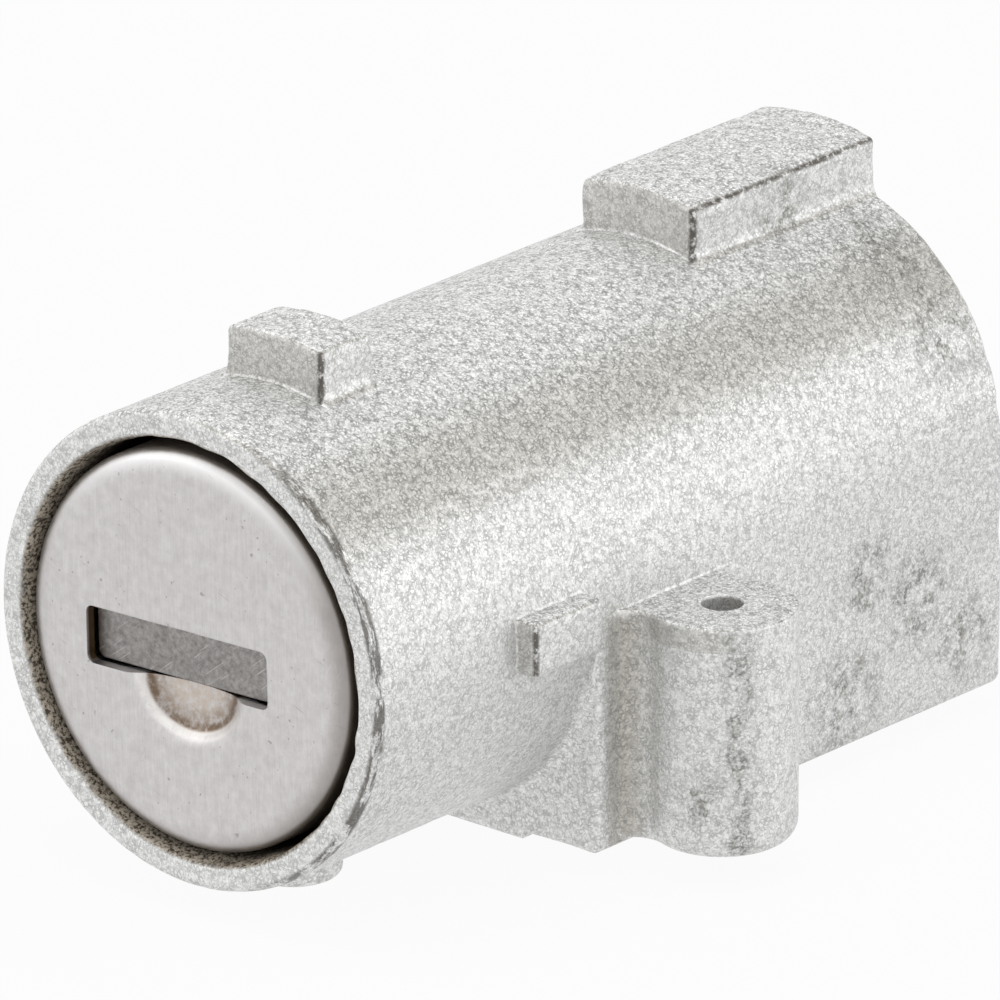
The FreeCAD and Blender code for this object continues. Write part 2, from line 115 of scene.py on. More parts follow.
def run(start: tuple[float, float], end: tuple[float, float], count: int) -> np.ndarray:
    """Even points on a straight line, without its two ends."""
    share = np.linspace(0.0, 1.0, count + 2)[1:-1, None]
    return np.array(start) * (1.0 - share) + np.array(end) * share


def outward(outline: np.ndarray) -> np.ndarray:
    """Unit normals of a closed outline that runs anticlockwise.

    The tangent is the next point less the last one, and the normal is the
    tangent turned a quarter turn clockwise.

    Args:
        outline: Points of shape (n, 2).

    Returns:
        Normals of shape (n, 2).
    """
    tangent = np.roll(outline, -1, axis=0) - np.roll(outline, 1, axis=0)
    normal = np.stack([tangent[:, 1], -tangent[:, 0]], axis=1)
    return normal / np.maximum(np.linalg.norm(normal, axis=1, keepdims=True), 1e-9)


def carried(outline: np.ndarray, levels: np.ndarray, insets: np.ndarray, axis: Axis) -> np.ndarray:
    """Carry an outline along an axis, drawn in at each level.

    Point = outline point less inset times its normal, at the level.

    Args:
        outline: Closed anticlockwise outline, shape (n, 2).
        levels: Position of each ring along the axis, shape (m,).
        insets: How far each ring is drawn in, shape (m,) or (m, n).
        axis: Axis that the outline is carried along.

    Returns:
        Rings of shape (m, n, 3).
    """
    depth = insets if insets.ndim == 2 else insets[:, None]
    rings = outline[None] - depth[..., None] * outward(outline)[None]
    rings = np.broadcast_to(rings, (len(levels), *rings.shape[1:]))
    return np.insert(rings, axis.value, np.broadcast_to(levels[:, None], rings.shape[:2]), axis=2)


def turned(radii: np.ndarray, levels: np.ndarray, count: int) -> np.ndarray:
    """Turn a profile about the lock's axis: radius times cosine and sine of even angles.

    Args:
        radii: Radius of each ring, shape (m,) or (m, count).
        levels: Y of each ring, shape (m,) or (m, count).
        count: Points round the axis.

    Returns:
        Rings of shape (m, count, 3).
    """
    angle = np.linspace(0.0, 2.0 * math.pi, count, endpoint=False)
    shape = (len(radii), count)
    r = np.broadcast_to(radii if radii.ndim == 2 else radii[:, None], shape)
    y = np.broadcast_to(levels if levels.ndim == 2 else levels[:, None], shape)
    return np.stack([r * np.cos(angle), y, r * np.sin(angle)], axis=2)


def eased(start: float, end: float, first: float, last: float, rows: int = 5) -> tuple[np.ndarray, np.ndarray]:
    """Levels and insets of a length whose two ends are rounded over.

    Each end is a quarter circle: the level moves by radius times one less
    cosine while the inset is radius times one less sine.

    Args:
        start: First level.
        end: Last level.
        first: Radius of the round at the first level.
        last: Radius of the round at the last level.
        rows: Rings in each round.

    Returns:
        Levels and insets, one for each ring.
    """
    step = np.linspace(0.0, math.pi / 2, rows)
    near, far = (step if first else step[-1:]), (step if last else step[-1:])
    levels = np.concatenate([start + first * (1.0 - np.cos(near)), (end - last * (1.0 - np.cos(far)))[::-1]])
    return levels, np.concatenate([first * (1.0 - np.sin(near)), (last * (1.0 - np.sin(far)))[::-1]])


def uneven(points: np.ndarray, width: float, seed: int, waves: int = 28) -> np.ndarray:
    """Smooth random field: a sum of plane waves with random headings, scaled to unit spread.

    Args:
        points: Points of shape (..., 3) in millimetres.
        width: Typical width of a bump in millimetres.
        seed: Seed of the headings and phases.
        waves: Number of waves.

    Returns:
        Field of the points' leading shape.
    """
    draw = np.random.default_rng(seed)
    heading = draw.normal(size=(3, waves))
    heading *= math.pi / width * draw.uniform(0.6, 1.4, waves) / np.linalg.norm(heading, axis=0)
    return np.cos(points @ heading + draw.uniform(0.0, 2.0 * math.pi, waves)).sum(axis=-1) / math.sqrt(waves / 2)


def solid(name: str, rings: np.ndarray, hubs: np.ndarray | None = None) -> bpy.types.Object:
    """Closed skin over rings of points, with one face or a fan at each end.

    Args:
        name: Name of the object.
        rings: Points of shape (m, n, 3) on the lock's own axes, in millimetres.
        hubs: Middle of the fan at each end, for an outline with hollows, shape (2, 3).

    Returns:
        Object whose place is in its mesh, in metres.
    """
    rows, count, _ = rings.shape
    index = np.arange(rows * count).reshape(rows, count)
    beside = np.roll(index, -1, axis=1)
    quads = np.stack([index[:-1], beside[:-1], beside[1:], index[1:]], axis=-1).reshape(-1, 4)
    points, ends = rings.reshape(-1, 3), (index[0, ::-1], index[-1])
    if hubs is None:
        faces = quads.tolist() + [end.tolist() for end in ends]
    else:
        fans = [np.stack([end, np.roll(end, -1), np.full(count, len(points) + i)], axis=1) for i, end in enumerate(ends)]
        faces = quads.tolist() + np.concatenate(fans).tolist()
        points = np.concatenate([points, hubs])
    mesh = bpy.data.meshes.new(name)
    mesh.from_pydata(((points + STAND) * MM).tolist(), [], faces)
    shape = bmesh.new()
    shape.from_mesh(mesh)
    bmesh.ops.recalc_face_normals(shape, faces=shape.faces)
    shape.to_mesh(mesh)
    shape.free()
    piece = bpy.data.objects.new(name, mesh)
    bpy.context.scene.collection.objects.link(piece)
    return piece


def joined(base: bpy.types.Object, others: Iterable[bpy.types.Object], how: Join) -> bpy.types.Object:
    """Put solids together and keep the result in the first one's mesh.

    Args:
        base: Solid that is kept.
        others: Solids that are added or cut away, and then removed.
        how: Whether they are added or cut away.

    Returns:
        The first solid.
    """
    parts = list(others)
    for part in parts:
        step = base.modifiers.new(part.name, "BOOLEAN")
        step.solver = "MANIFOLD"
        step.operation = how.value
        step.object = part
    bpy.context.view_layer.update()
    result = base.evaluated_get(bpy.context.evaluated_depsgraph_get())
    mesh = bpy.data.meshes.new_from_object(result)
    base.modifiers.clear()
    old, base.data = base.data, mesh
    bpy.data.meshes.remove(old)
    for part in parts:
        bpy.data.objects.remove(part)
    return base


def dressed(piece: bpy.types.Object, name: str, finish: bpy.types.Material, sharp: float) -> bpy.types.Object:
    """Name a piece, give it its one finish, and shade it smooth up to an angle.

    Args:
        piece: Piece to dress.
        name: Its name.
        finish: Its material.
        sharp: Angle in degrees above which an edge stays sharp.

    Returns:
        The piece.
    """
    piece.name = piece.data.name = name
    piece.data.materials.clear()
    piece.data.materials.append(finish)
    piece.data.polygons.foreach_set("material_index", np.zeros(len(piece.data.polygons), np.int32))
    piece.data.shade_smooth()
    piece.data.set_sharp_from_angle(angle=math.radians(sharp))
    return piece


# Finishes


def put(tree: bpy.types.NodeTree, kind: str, inputs: dict | None = None, **settings: object) -> bpy.types.Node:
    """Add a shader node with its settings, and set or link its inputs.

    Args:
        tree: Tree that gets the node.
        kind: Name of the node's type after ShaderNode.
        inputs: Value or output socket for each input, by name or number.
        **settings: Properties of the node.

    Returns:
        The node.
    """
    node = tree.nodes.new("ShaderNode" + kind)
    for name, value in settings.items():
        setattr(node, name, value)
    for key, value in (inputs or {}).items():
        if isinstance(value, bpy.types.NodeSocket):
            tree.links.new(value, node.inputs[key])
        else:
            node.inputs[key].default_value = value
    return node


def blank(name: str) -> tuple[bpy.types.Material, bpy.types.NodeTree, bpy.types.Node, bpy.types.NodeSocket]:
    """Start a metal's material.

    Args:
        name: Name of the material.

    Returns:
        Material, its tree, its shader, and the Object coordinates.
    """
    made = bpy.data.materials.new(name)
    made.use_nodes = True
    tree = made.node_tree
    tree.nodes.clear()
    shader = put(tree, "BsdfPrincipled", {"Metallic": 1.0})
    out = put(tree, "OutputMaterial", {"Surface": shader.outputs[0]})
    out.location = (400, 0)
    return made, tree, shader, put(tree, "TexCoord").outputs["Object"]


@dataclass(frozen=True)
class TumbledZinc:
    """Die-cast zinc, tumbled bright: curly grain, rubbed edges with a painted highlight, cracked edges, grey stains,
    and painted shade on the shoulder, in hollows, on front faces and deep in the bay.
    """

    body: str = "#F0F0EF"
    pit: str = "#BDBDBC"
    spark: str = "#FFFFFF"
    # Plainer, darker tone of faces that don't look up: painted light.
    plain: str = "#E3E3E2"
    seam: str = "#989896"
    # Colour of the painted shade, multiplied onto the shoulder, the hollow beside the boss and the front faces.
    painted_shade: str = "#DAD7D1"
    stain: str = "#6B685F"
    # Dark brown: grime at the bay's mouth, and painted shade further into the bay.
    grime_and_shade: str = "#453C30"
    dust: str = "#BDB3A3"
    crack: str = "#4F4941"
    grain: float = 0.13
    cell: float = 0.21
    bay: float = 8.87
    nose: float = 10.0
    stains: tuple = (
        (5.6, 36.4, 8.3, 3.0), (8.4, 36.8, 5.4, 3.2), (10.0, 30.4, -3.1, 2.6), (10.0, 33.6, -5.0, 3.2),
        (10.0, 36.5, -7.4, 2.6), (10.0, 29.0, -8.0, 3.2), (13.9, 15.2, -7.4, 1.8), (2.9, 33.0, 10.6, 2.2),
    )
    streak: tuple = (15.1, 16.2, 0.95)
    flute: tuple = (10.35, 14.75, 1.0)
    # Strength of the painted shade on faces that face forward.
    front_shade: float = 0.5
    splits: tuple = (
        ((1.0, 1.0, 0.0), (2.46, 5.33, 0.0), 0.22, 9.0), ((1.0, 1.0, 0.0), (2.92, 27.68, 0.0), 0.24, 9.0),
        ((1.0, 0.0, 1.0), (2.86, 0.0, 11.72), 0.17, 9.0), ((1.0, 1.0, 0.0), (10.95, 8.55, 0.0), 0.2, -2.0),
    )

    def skin(self, tree: bpy.types.NodeTree, place: bpy.types.NodeSocket, own: bpy.types.NodeSocket) -> tuple:
        """Grain of the clean casting.

        A bent fine noise runs from the pit's tone through the body's to the
        spark's. Thin cracks follow the borders of bent cells and come and go.
        Both show most on faces that look up; other faces are mixed towards a plainer, darker tone, which is painted
        light. A painted shade darkens the shoulder, the hollow beside the boss, and the fronts of lugs and tab.

        Args:
            tree: Tree that gets the nodes.
            place: Object coordinates.
            own: Coordinates from the lock's axis.

        Returns:
            Sockets of the tone and of the height.
        """
        fine = put(tree, "TexNoise", {
            "Vector": place, "Scale": per_mm(self.grain), "Detail": 1.5, "Roughness": 0.6, "Distortion": 1.1,
        })
        depth = put(tree, "MapRange", {"Value": fine.outputs[0], "From Min": 0.36, "From Max": 0.56})
        tone = put(tree, "Mix", {0: depth.outputs[0], 6: linear(self.pit), 7: linear(self.body)}, data_type="RGBA")
        bright = put(tree, "MapRange", {"Value": fine.outputs[0], "From Min": 0.56, "From Max": 0.7})
        tone = put(tree, "Mix", {0: bright.outputs[0], 6: tone.outputs[2], 7: linear(self.spark)}, data_type="RGBA")
        wave = put(tree, "TexNoise", {"Vector": place, "Scale": per_mm(0.34), "Detail": 2.0})
        sway = put(tree, "VectorMath", {0: wave.outputs["Color"], 1: (0.5, 0.5, 0.5)}, operation="SUBTRACT")
        bent = put(tree, "VectorMath", {0: sway.outputs[0], 1: (0.4 * MM,) * 3, 2: place}, operation="MULTIPLY_ADD")
        cells = put(tree, "TexVoronoi", {
            "Vector": bent.outputs[0], "Scale": per_mm(self.cell),
        }, feature="DISTANCE_TO_EDGE")
        line = put(tree, "MapRange", {"Value": cells.outputs["Distance"], "From Min": 0.2, "From Max": 0.03})
        ebb = put(tree, "MapRange", {"Value": wave.outputs[0], "From Min": 0.36, "From Max": 0.6, "To Max": 0.9})
        crack = put(tree, "Math", {0: line.outputs[0], 1: ebb.outputs[0]}, operation="MULTIPLY")
        tone = put(tree, "Mix", {0: crack.outputs[0], 6: tone.outputs[2], 7: linear(self.seam)}, data_type="RGBA")
        # Painted light: faces that look up keep the full grain, other faces are mixed towards the plainer, darker tone.
        faces = put(tree, "SeparateXYZ", {0: put(tree, "NewGeometry").outputs["Normal"]})
        grain_share_lit_from_above = put(tree, "MapRange", {
            "Value": faces.outputs["Z"], "From Min": 0.4, "From Max": 0.85, "To Min": 0.58, "To Max": 1.0,
        })
        tone = put(tree, "Mix", {0: grain_share_lit_from_above.outputs[0], 6: linear(self.plain), 7: tone.outputs[2]}, data_type="RGBA")
        round_x = put(tree, "SeparateXYZ", {0: put(tree, "VectorMath", {0: own}, operation="NORMALIZE").outputs[0]})
        # Painted shade: a darker band on +X faces that slope at about 45 degrees, the shoulder.
        slope = put(tree, "Math", {0: faces.outputs["Z"], 1: -0.72}, operation="ADD")
        slope = put(tree, "Math", {0: slope.outputs[0]}, operation="ABSOLUTE")
        band = put(tree, "MapRange", {
            "Value": slope.outputs[0], "From Min": 0.22, "From Max": 0.03, "To Max": 0.72,
        }, interpolation_type="SMOOTHSTEP")
        right = put(tree, "MapRange", {"Value": round_x.outputs["X"], "From Min": 0.0, "From Max": 0.1})
        painted_shade = put(tree, "Math", {0: band.outputs[0], 1: right.outputs[0]}, operation="MULTIPLY")
        # Painted shade in the hollow beside the boss, below the middle.
        x, y, reach = self.flute
        upright = put(tree, "VectorMath", {0: own, 1: (1.0, 1.0, 0.0)}, operation="MULTIPLY")
        off = put(tree, "VectorMath", {0: upright.outputs[0], 1: (x * MM, y * MM, 0.0)}, operation="DISTANCE")
        hollow = put(tree, "MapRange", {
            "Value": off.outputs["Value"], "From Min": reach * MM, "From Max": 0.3 * reach * MM,
        }, interpolation_type="SMOOTHSTEP")
        parts = put(tree, "SeparateXYZ", {0: own})
        low = put(tree, "MapRange", {"Value": parts.outputs["Z"], "From Min": 0.3 * MM, "From Max": -0.5 * MM})
        hollow = put(tree, "Math", {0: hollow.outputs[0], 1: low.outputs[0]}, operation="MULTIPLY")
        painted_shade = put(tree, "Math", {0: painted_shade.outputs[0], 1: hollow.outputs[0]}, operation="MAXIMUM")
        # Painted shade on faces that face forward, where Y is above 3 mm and Z above -1 mm.
        front = put(tree, "MapRange", {
            "Value": faces.outputs["Y"], "From Min": -0.6, "From Max": -0.85, "To Max": self.front_shade,
        })
        for side, least in (("Y", 3.0), ("Z", -1.0)):
            past = put(tree, "Math", {0: parts.outputs[side], 1: least * MM}, operation="GREATER_THAN")
            front = put(tree, "Math", {0: front.outputs[0], 1: past.outputs[0]}, operation="MULTIPLY")
        painted_shade = put(tree, "Math", {0: painted_shade.outputs[0], 1: front.outputs[0]}, operation="MAXIMUM")
        # Multiply the painted shade onto the tone.
        tone = put(tree, "Mix", {
            0: painted_shade.outputs[0], 6: tone.outputs[2], 7: linear(self.painted_shade),
        }, data_type="RGBA", blend_type="MULTIPLY")
        height = put(tree, "Math", {0: crack.outputs[0], 1: -0.5, 2: fine.outputs[0]}, operation="MULTIPLY_ADD")
        return tone.outputs[2], height.outputs[0]

    def stained(self, tree: bpy.types.NodeTree, place: bpy.types.NodeSocket, tone: bpy.types.NodeSocket) -> bpy.types.NodeSocket:
        """Tone with stains: clusters of dark grains near named spots and on the boss's upright streak.

        Args:
            tree: Tree that gets the nodes.
            place: Object coordinates.
            tone: Tone of the clean casting.

        Returns:
            Socket of the tone.
        """
        near: bpy.types.NodeSocket | float = 0.0
        spots = [(place, spot(x, y, z), reach) for x, y, z, reach in self.stains]
        x, y, reach = self.streak
        upright = put(tree, "VectorMath", {0: place, 1: (1.0, 1.0, 0.0)}, operation="MULTIPLY")
        spots.append((upright.outputs[0], (*spot(x, y, 0.0)[:2], 0.0), reach))
        for points, centre, reach in spots:
            gap = put(tree, "VectorMath", {0: points, 1: centre}, operation="DISTANCE")
            close = put(tree, "MapRange", {
                "Value": gap.outputs["Value"], "From Min": reach * MM, "From Max": 0.25 * reach * MM,
            }, interpolation_type="SMOOTHSTEP")
            near = put(tree, "Math", {0: close.outputs[0], 1: near}, operation="MAXIMUM").outputs[0]
        cloud = put(tree, "TexNoise", {"Vector": place, "Scale": per_mm(0.9), "Detail": 3.0, "Roughness": 0.7})
        speck = put(tree, "TexNoise", {"Vector": place, "Scale": per_mm(0.19), "Detail": 1.0, "Distortion": 0.8})
        patch = put(tree, "MapRange", {"Value": cloud.outputs[0], "From Min": 0.42, "From Max": 0.58})
        grains = put(tree, "MapRange", {
            "Value": speck.outputs[0], "From Min": 0.42, "From Max": 0.6, "To Min": 0.15, "To Max": 0.7,
        })
        amount = put(tree, "Math", {0: patch.outputs[0], 1: grains.outputs[0]}, operation="MULTIPLY")
        amount = put(tree, "Math", {0: near, 1: amount.outputs[0]}, operation="MULTIPLY")
        return put(tree, "Mix", {0: amount.outputs[0], 6: tone, 7: linear(self.stain)}, data_type="RGBA").outputs[2]

    def edged(self, tree: bpy.types.NodeTree, place: bpy.types.NodeSocket, own: bpy.types.NodeSocket,
              radius: bpy.types.NodeSocket, soft: bpy.types.NodeSocket, tone: bpy.types.NodeSocket) -> bpy.types.NodeSocket:
        """Tone with worn edges: rubbed bright, partly wear and partly a painted highlight, and cracked dark on the
        rim's right side and along named lines.

        The softened normal's product with the true one is below 1 at an edge.
        The rim's cracks are a noise drawn out along the rim.

        Args:
            tree: Tree that gets the nodes.
            place: Object coordinates.
            own: Coordinates from the lock's axis.
            radius: Distance from the lock's axis.
            soft: Softened normal.
            tone: Tone of the faces.

        Returns:
            Socket of the tone.
        """
        true = put(tree, "NewGeometry")
        agree = put(tree, "VectorMath", {0: soft, 1: true.outputs["Normal"]}, operation="DOT_PRODUCT")
        edge = put(tree, "MapRange", {"Value": agree.outputs["Value"], "From Min": 0.995, "From Max": 0.93})
        fray = put(tree, "TexNoise", {"Vector": place, "Scale": per_mm(0.3), "Detail": 4.0, "Roughness": 0.75})
        # Bright edges in patches: partly wear, partly a painted highlight along every edge.
        rub_and_highlight = put(tree, "MapRange", {"Value": fray.outputs[0], "From Min": 0.56, "From Max": 0.44, "To Max": 0.85})
        patchy_mark = put(tree, "Math", {0: edge.outputs[0], 1: rub_and_highlight.outputs[0]}, operation="MULTIPLY")
        tone = put(tree, "Mix", {0: patchy_mark.outputs[0], 6: tone, 7: linear(self.spark)}, data_type="RGBA").outputs[2]
        split = put(tree, "SeparateXYZ", {0: own})
        angle = put(tree, "Math", {0: split.outputs["X"], 1: split.outputs["Z"]}, operation="ARCTAN2")
        round_it = put(tree, "Math", {0: angle.outputs[0], 1: self.nose * MM / 4.0}, operation="MULTIPLY")
        drawn = put(tree, "CombineXYZ", {"X": round_it.outputs[0], "Y": split.outputs["Y"], "Z": radius})
        tear = put(tree, "TexNoise", {"Vector": drawn.outputs[0], "Scale": per_mm(0.3), "Detail": 4.0, "Roughness": 0.7})
        torn = put(tree, "MapRange", {"Value": tear.outputs[0], "From Min": 0.44, "From Max": 0.53, "To Max": 0.75})
        dark = torn.outputs[0]
        for value, low, high in (
            (radius, self.nose - 0.3, self.nose - 0.17), (split.outputs["Y"], 0.6, 0.42),
            (split.outputs["X"], 2.5, 6.0), (radius, self.nose + 0.1, self.nose + 0.05),
        ):
            part = put(tree, "MapRange", {"Value": value, "From Min": low * MM, "From Max": high * MM})
            dark = put(tree, "Math", {0: dark, 1: part.outputs[0]}, operation="MULTIPLY").outputs[0]
        gap = put(tree, "MapRange", {"Value": fray.outputs[0], "From Min": 0.4, "From Max": 0.5, "To Max": 0.85})
        for across, point, reach, lowest in self.splits:
            high = put(tree, "Math", {0: split.outputs["Z"], 1: lowest * MM}, operation="GREATER_THAN")
            flat = put(tree, "VectorMath", {0: own, 1: across}, operation="MULTIPLY")
            off = put(tree, "VectorMath", {
                0: flat.outputs[0], 1: tuple(c * MM for c in point),
            }, operation="DISTANCE")
            close = put(tree, "MapRange", {
                "Value": off.outputs["Value"], "From Min": reach * MM, "From Max": 0.4 * reach * MM,
            })
            seam = put(tree, "Math", {0: close.outputs[0], 1: gap.outputs[0]}, operation="MULTIPLY")
            seam = put(tree, "Math", {0: seam.outputs[0], 1: high.outputs[0]}, operation="MULTIPLY")
            dark = put(tree, "Math", {0: dark, 1: seam.outputs[0]}, operation="MAXIMUM").outputs[0]
        return put(tree, "Mix", {0: dark, 6: tone, 7: linear(self.crack)}, data_type="RGBA").outputs[2]

    def build(self) -> bpy.types.Material:
        """Build the material.

        The bay's wall is gritty with dust and grime at its mouth, and further in it turns to the dark grime colour, a
        painted shade, and is less like metal.

        Returns:
            The material.
        """
        made, tree, shader, place = blank("tumbled_zinc")
        own = put(tree, "VectorMath", {0: place, 1: spot(0.0, 0.0, 0.0)}, operation="SUBTRACT")
        flat = put(tree, "VectorMath", {0: own.outputs[0], 1: (1.0, 0.0, 1.0)}, operation="MULTIPLY")
        radius = put(tree, "VectorMath", {0: flat.outputs[0]}, operation="LENGTH").outputs["Value"]
        split = put(tree, "SeparateXYZ", {0: own.outputs[0]})
        tone, height = self.skin(tree, place, own.outputs[0])
        tone = self.stained(tree, place, tone)
        soft = put(tree, "Bevel", {"Radius": 0.2 * MM}, samples=6).outputs[0]
        tone = self.edged(tree, place, own.outputs[0], radius, soft, tone)

        grit = put(tree, "TexNoise", {"Vector": place, "Scale": per_mm(0.16), "Detail": 2.0, "Roughness": 0.7})
        share = put(tree, "MapRange", {"Value": grit.outputs[0], "From Min": 0.4, "From Max": 0.58})
        wall = put(tree, "Mix", {0: share.outputs[0], 6: linear(self.grime_and_shade), 7: linear(self.dust)}, data_type="RGBA")
        # Painted shade: further into the bay the wall turns to the dark grime colour.
        deep_shade = put(tree, "MapRange", {"Value": split.outputs["Y"], "From Min": 1.0 * MM, "From Max": 2.6 * MM})
        wall = put(tree, "Mix", {0: deep_shade.outputs[0], 6: wall.outputs[2], 7: linear(self.grime_and_shade)}, data_type="RGBA")
        bore = put(tree, "MapRange", {
            "Value": radius, "From Min": (self.bay + 0.16) * MM, "From Max": (self.bay + 0.02) * MM,
        })
        ahead = put(tree, "Math", {0: split.outputs["Y"], 1: 37.5 * MM}, operation="LESS_THAN")
        inside = put(tree, "Math", {0: bore.outputs[0], 1: ahead.outputs[0]}, operation="MULTIPLY")
        tone = put(tree, "Mix", {0: inside.outputs[0], 6: tone, 7: wall.outputs[2]}, data_type="RGBA")
        metal = put(tree, "MapRange", {"Value": inside.outputs[0], "To Min": 1.0, "To Max": 0.25})
        bump = put(tree, "Bump", {"Strength": 0.6, "Distance": 0.03 * MM, "Height": height, "Normal": soft})
        rough = put(tree, "MapRange", {"Value": height, "To Min": 0.66, "To Max": 0.5})
        tree.links.new(tone.outputs[2], shader.inputs["Base Color"])
        tree.links.new(metal.outputs[0], shader.inputs["Metallic"])
        tree.links.new(rough.outputs[0], shader.inputs["Roughness"])
        tree.links.new(bump.outputs[0], shader.inputs["Normal"])
        return made


@dataclass(frozen=True)
class BrushedStainless:
    """Stainless sheet, faintly brushed upright, with light scratches, a rim with painted shade and a painted highlight,
    and a scoop with a painted warm reflection, painted shade and a painted highlight.
    """

    body: str = "#D7D4D4"
    line: str = "#C2BFBE"
    scratch: str = "#ECEAE8"
    dent: str = "#8E8985"
    # Warm colour of the painted reflection in the scoop.
    painted_warm_reflection: str = "#BCA993"
    # Dark brown of the key slot's short walls: grime with painted shade.
    grime_and_shade: str = "#5F4C36"
    # Colour of the painted shade on the rim's +X side.
    painted_rim_shade: str = "#8F8984"
    line_width: float = 0.06
    line_length: float = 1.3
    scoop: tuple = (-0.29, -1.625, 2.9, 2.25)
    # Painted light in the scoop, as share ranges, strength and colour: a brownish painted shade on the floor, a painted
    # highlight on the lower wall, and a painted shade in the crease.
    rings: tuple = (
        (0.35, 0.72, 0.8, 0.87, 0.75, "#85766A"), (0.82, 0.89, 0.94, 1.02, 0.6, "#F3F1EE"),
        (0.68, 0.76, 0.8, 0.86, 0.75, "#665340"),
    )
    slot: tuple = (-0.69, 4.8, -0.4, 1.3)
    rim: tuple = (-0.2, -0.12, 7.3, 8.3)

    def brushed(self, tree: bpy.types.NodeTree, place: bpy.types.NodeSocket) -> tuple:
        """Satin of the sheet.

        Brush lines are a noise drawn out along Z, over a mottled cloud.
        Scratches are the peaks of noises drawn out along slanting lines, and dents are the peaks of a fine noise. The
        rim has a painted shade that grows towards +X and a painted highlight at the top.

        Args:
            tree: Tree that gets the nodes.
            place: Coordinates on the cap's own axes.

        Returns:
            Sockets of the tone and of the height.
        """
        drawn = put(tree, "Mapping", {
            "Vector": place,
            "Scale": (per_mm(self.line_width), per_mm(self.line_width * 4), per_mm(self.line_length)),
        })
        brush = put(tree, "TexNoise", {"Vector": drawn.outputs[0], "Scale": 1.0, "Detail": 3.0, "Roughness": 0.6})
        cloud = put(tree, "TexNoise", {"Vector": place, "Scale": per_mm(0.45), "Detail": 5.0, "Roughness": 0.7})
        both = put(tree, "Math", {0: brush.outputs[0], 1: 0.55, 2: cloud.outputs[0]}, operation="MULTIPLY_ADD")
        amount = put(tree, "MapRange", {"Value": both.outputs[0], "From Min": 0.52, "From Max": 1.0})
        tone = put(tree, "Mix", {0: amount.outputs[0], 6: linear(self.line), 7: linear(self.body)}, data_type="RGBA")
        height = brush.outputs[0]
        for turn, keep, colour in ((62.0, 0.72, self.scratch), (-24.0, 0.74, self.dent), (100.0, 0.725, self.scratch)):
            slant = put(tree, "VectorRotate", {"Vector": place, "Angle": math.radians(turn)}, rotation_type="Y_AXIS")
            long = put(tree, "Mapping", {
                "Vector": slant.outputs[0], "Location": (turn, 0.0, turn),
                "Scale": (per_mm(1.7), per_mm(2.0), per_mm(0.06)),
            })
            streak = put(tree, "TexNoise", {"Vector": long.outputs[0], "Scale": 1.0, "Detail": 1.0})
            mark = put(tree, "MapRange", {
                "Value": streak.outputs[0], "From Min": keep, "From Max": keep + 0.06, "To Max": 0.6,
            })
            tone = put(tree, "Mix", {0: mark.outputs[0], 6: tone.outputs[2], 7: linear(colour)}, data_type="RGBA")
            height = put(tree, "Math", {0: mark.outputs[0], 1: -0.5, 2: height}, operation="MULTIPLY_ADD").outputs[0]
        pock = put(tree, "TexNoise", {"Vector": place, "Scale": per_mm(0.3), "Detail": 1.0})
        dent = put(tree, "MapRange", {
            "Value": pock.outputs[0], "From Min": 0.735, "From Max": 0.78, "To Max": 0.6,
        })
        tone = put(tree, "Mix", {0: dent.outputs[0], 6: tone.outputs[2], 7: linear(self.dent)}, data_type="RGBA")
        x, z, start, end = self.rim
        flat = put(tree, "VectorMath", {0: place, 1: (1.0, 0.0, 1.0)}, operation="MULTIPLY")
        out = put(tree, "VectorMath", {0: flat.outputs[0], 1: (x * MM, 0.0, z * MM)}, operation="DISTANCE")
        edge = put(tree, "MapRange", {
            "Value": out.outputs["Value"], "From Min": start * MM, "From Max": end * MM,
        }, interpolation_type="SMOOTHSTEP")
        # Painted shade on the rim, growing towards +X.
        aside = put(tree, "MapRange", {
            "Value": put(tree, "SeparateXYZ", {0: place}).outputs["X"], "From Min": -1.0 * MM, "From Max": 5.0 * MM,
            "To Min": 0.1, "To Max": 0.75,
        })
        right_rim_shade = put(tree, "Math", {0: edge.outputs[0], 1: aside.outputs[0]}, operation="MULTIPLY")
        tone = put(tree, "Mix", {0: right_rim_shade.outputs[0], 6: tone.outputs[2], 7: linear(self.painted_rim_shade)}, data_type="RGBA")
        # Painted highlight on the rim at the top.
        fall = put(tree, "MapRange", {
            "Value": out.outputs["Value"], "From Min": (end + 0.05) * MM, "From Max": (end - 0.25) * MM,
        })
        lit = put(tree, "MapRange", {
            "Value": put(tree, "SeparateXYZ", {0: place}).outputs["Z"], "From Min": 3.0 * MM, "From Max": 7.0 * MM,
            "To Max": 0.8,
        })
        lit = put(tree, "Math", {0: lit.outputs[0], 1: fall.outputs[0]}, operation="MULTIPLY")
        lit = put(tree, "Math", {0: lit.outputs[0], 1: edge.outputs[0]}, operation="MULTIPLY")
        tone = put(tree, "Mix", {0: lit.outputs[0], 6: tone.outputs[2], 7: linear("#FFFFFF")}, data_type="RGBA")
        return tone.outputs[2], height

    def build(self) -> bpy.types.Material:
        """Build the material.

        The share of the way from the scoop's middle to its edge sets where the painted warm reflection lies, and three
        rings: a brownish painted shade on the floor, a painted highlight on the lower wall and a painted shade in the
        crease between them. The two short walls of the key slot are darker brown, grime with painted shade.

        Returns:
            The material.
        """
        made, tree, shader, place = blank("brushed_stainless")
        own = put(tree, "VectorMath", {0: place, 1: spot(0.0, 0.0, 0.0)}, operation="SUBTRACT")
        level = put(tree, "VectorRotate", {"Vector": own.outputs[0], "Angle": -REST_TURN}, rotation_type="Y_AXIS")
        tone, height = self.brushed(tree, level.outputs[0])

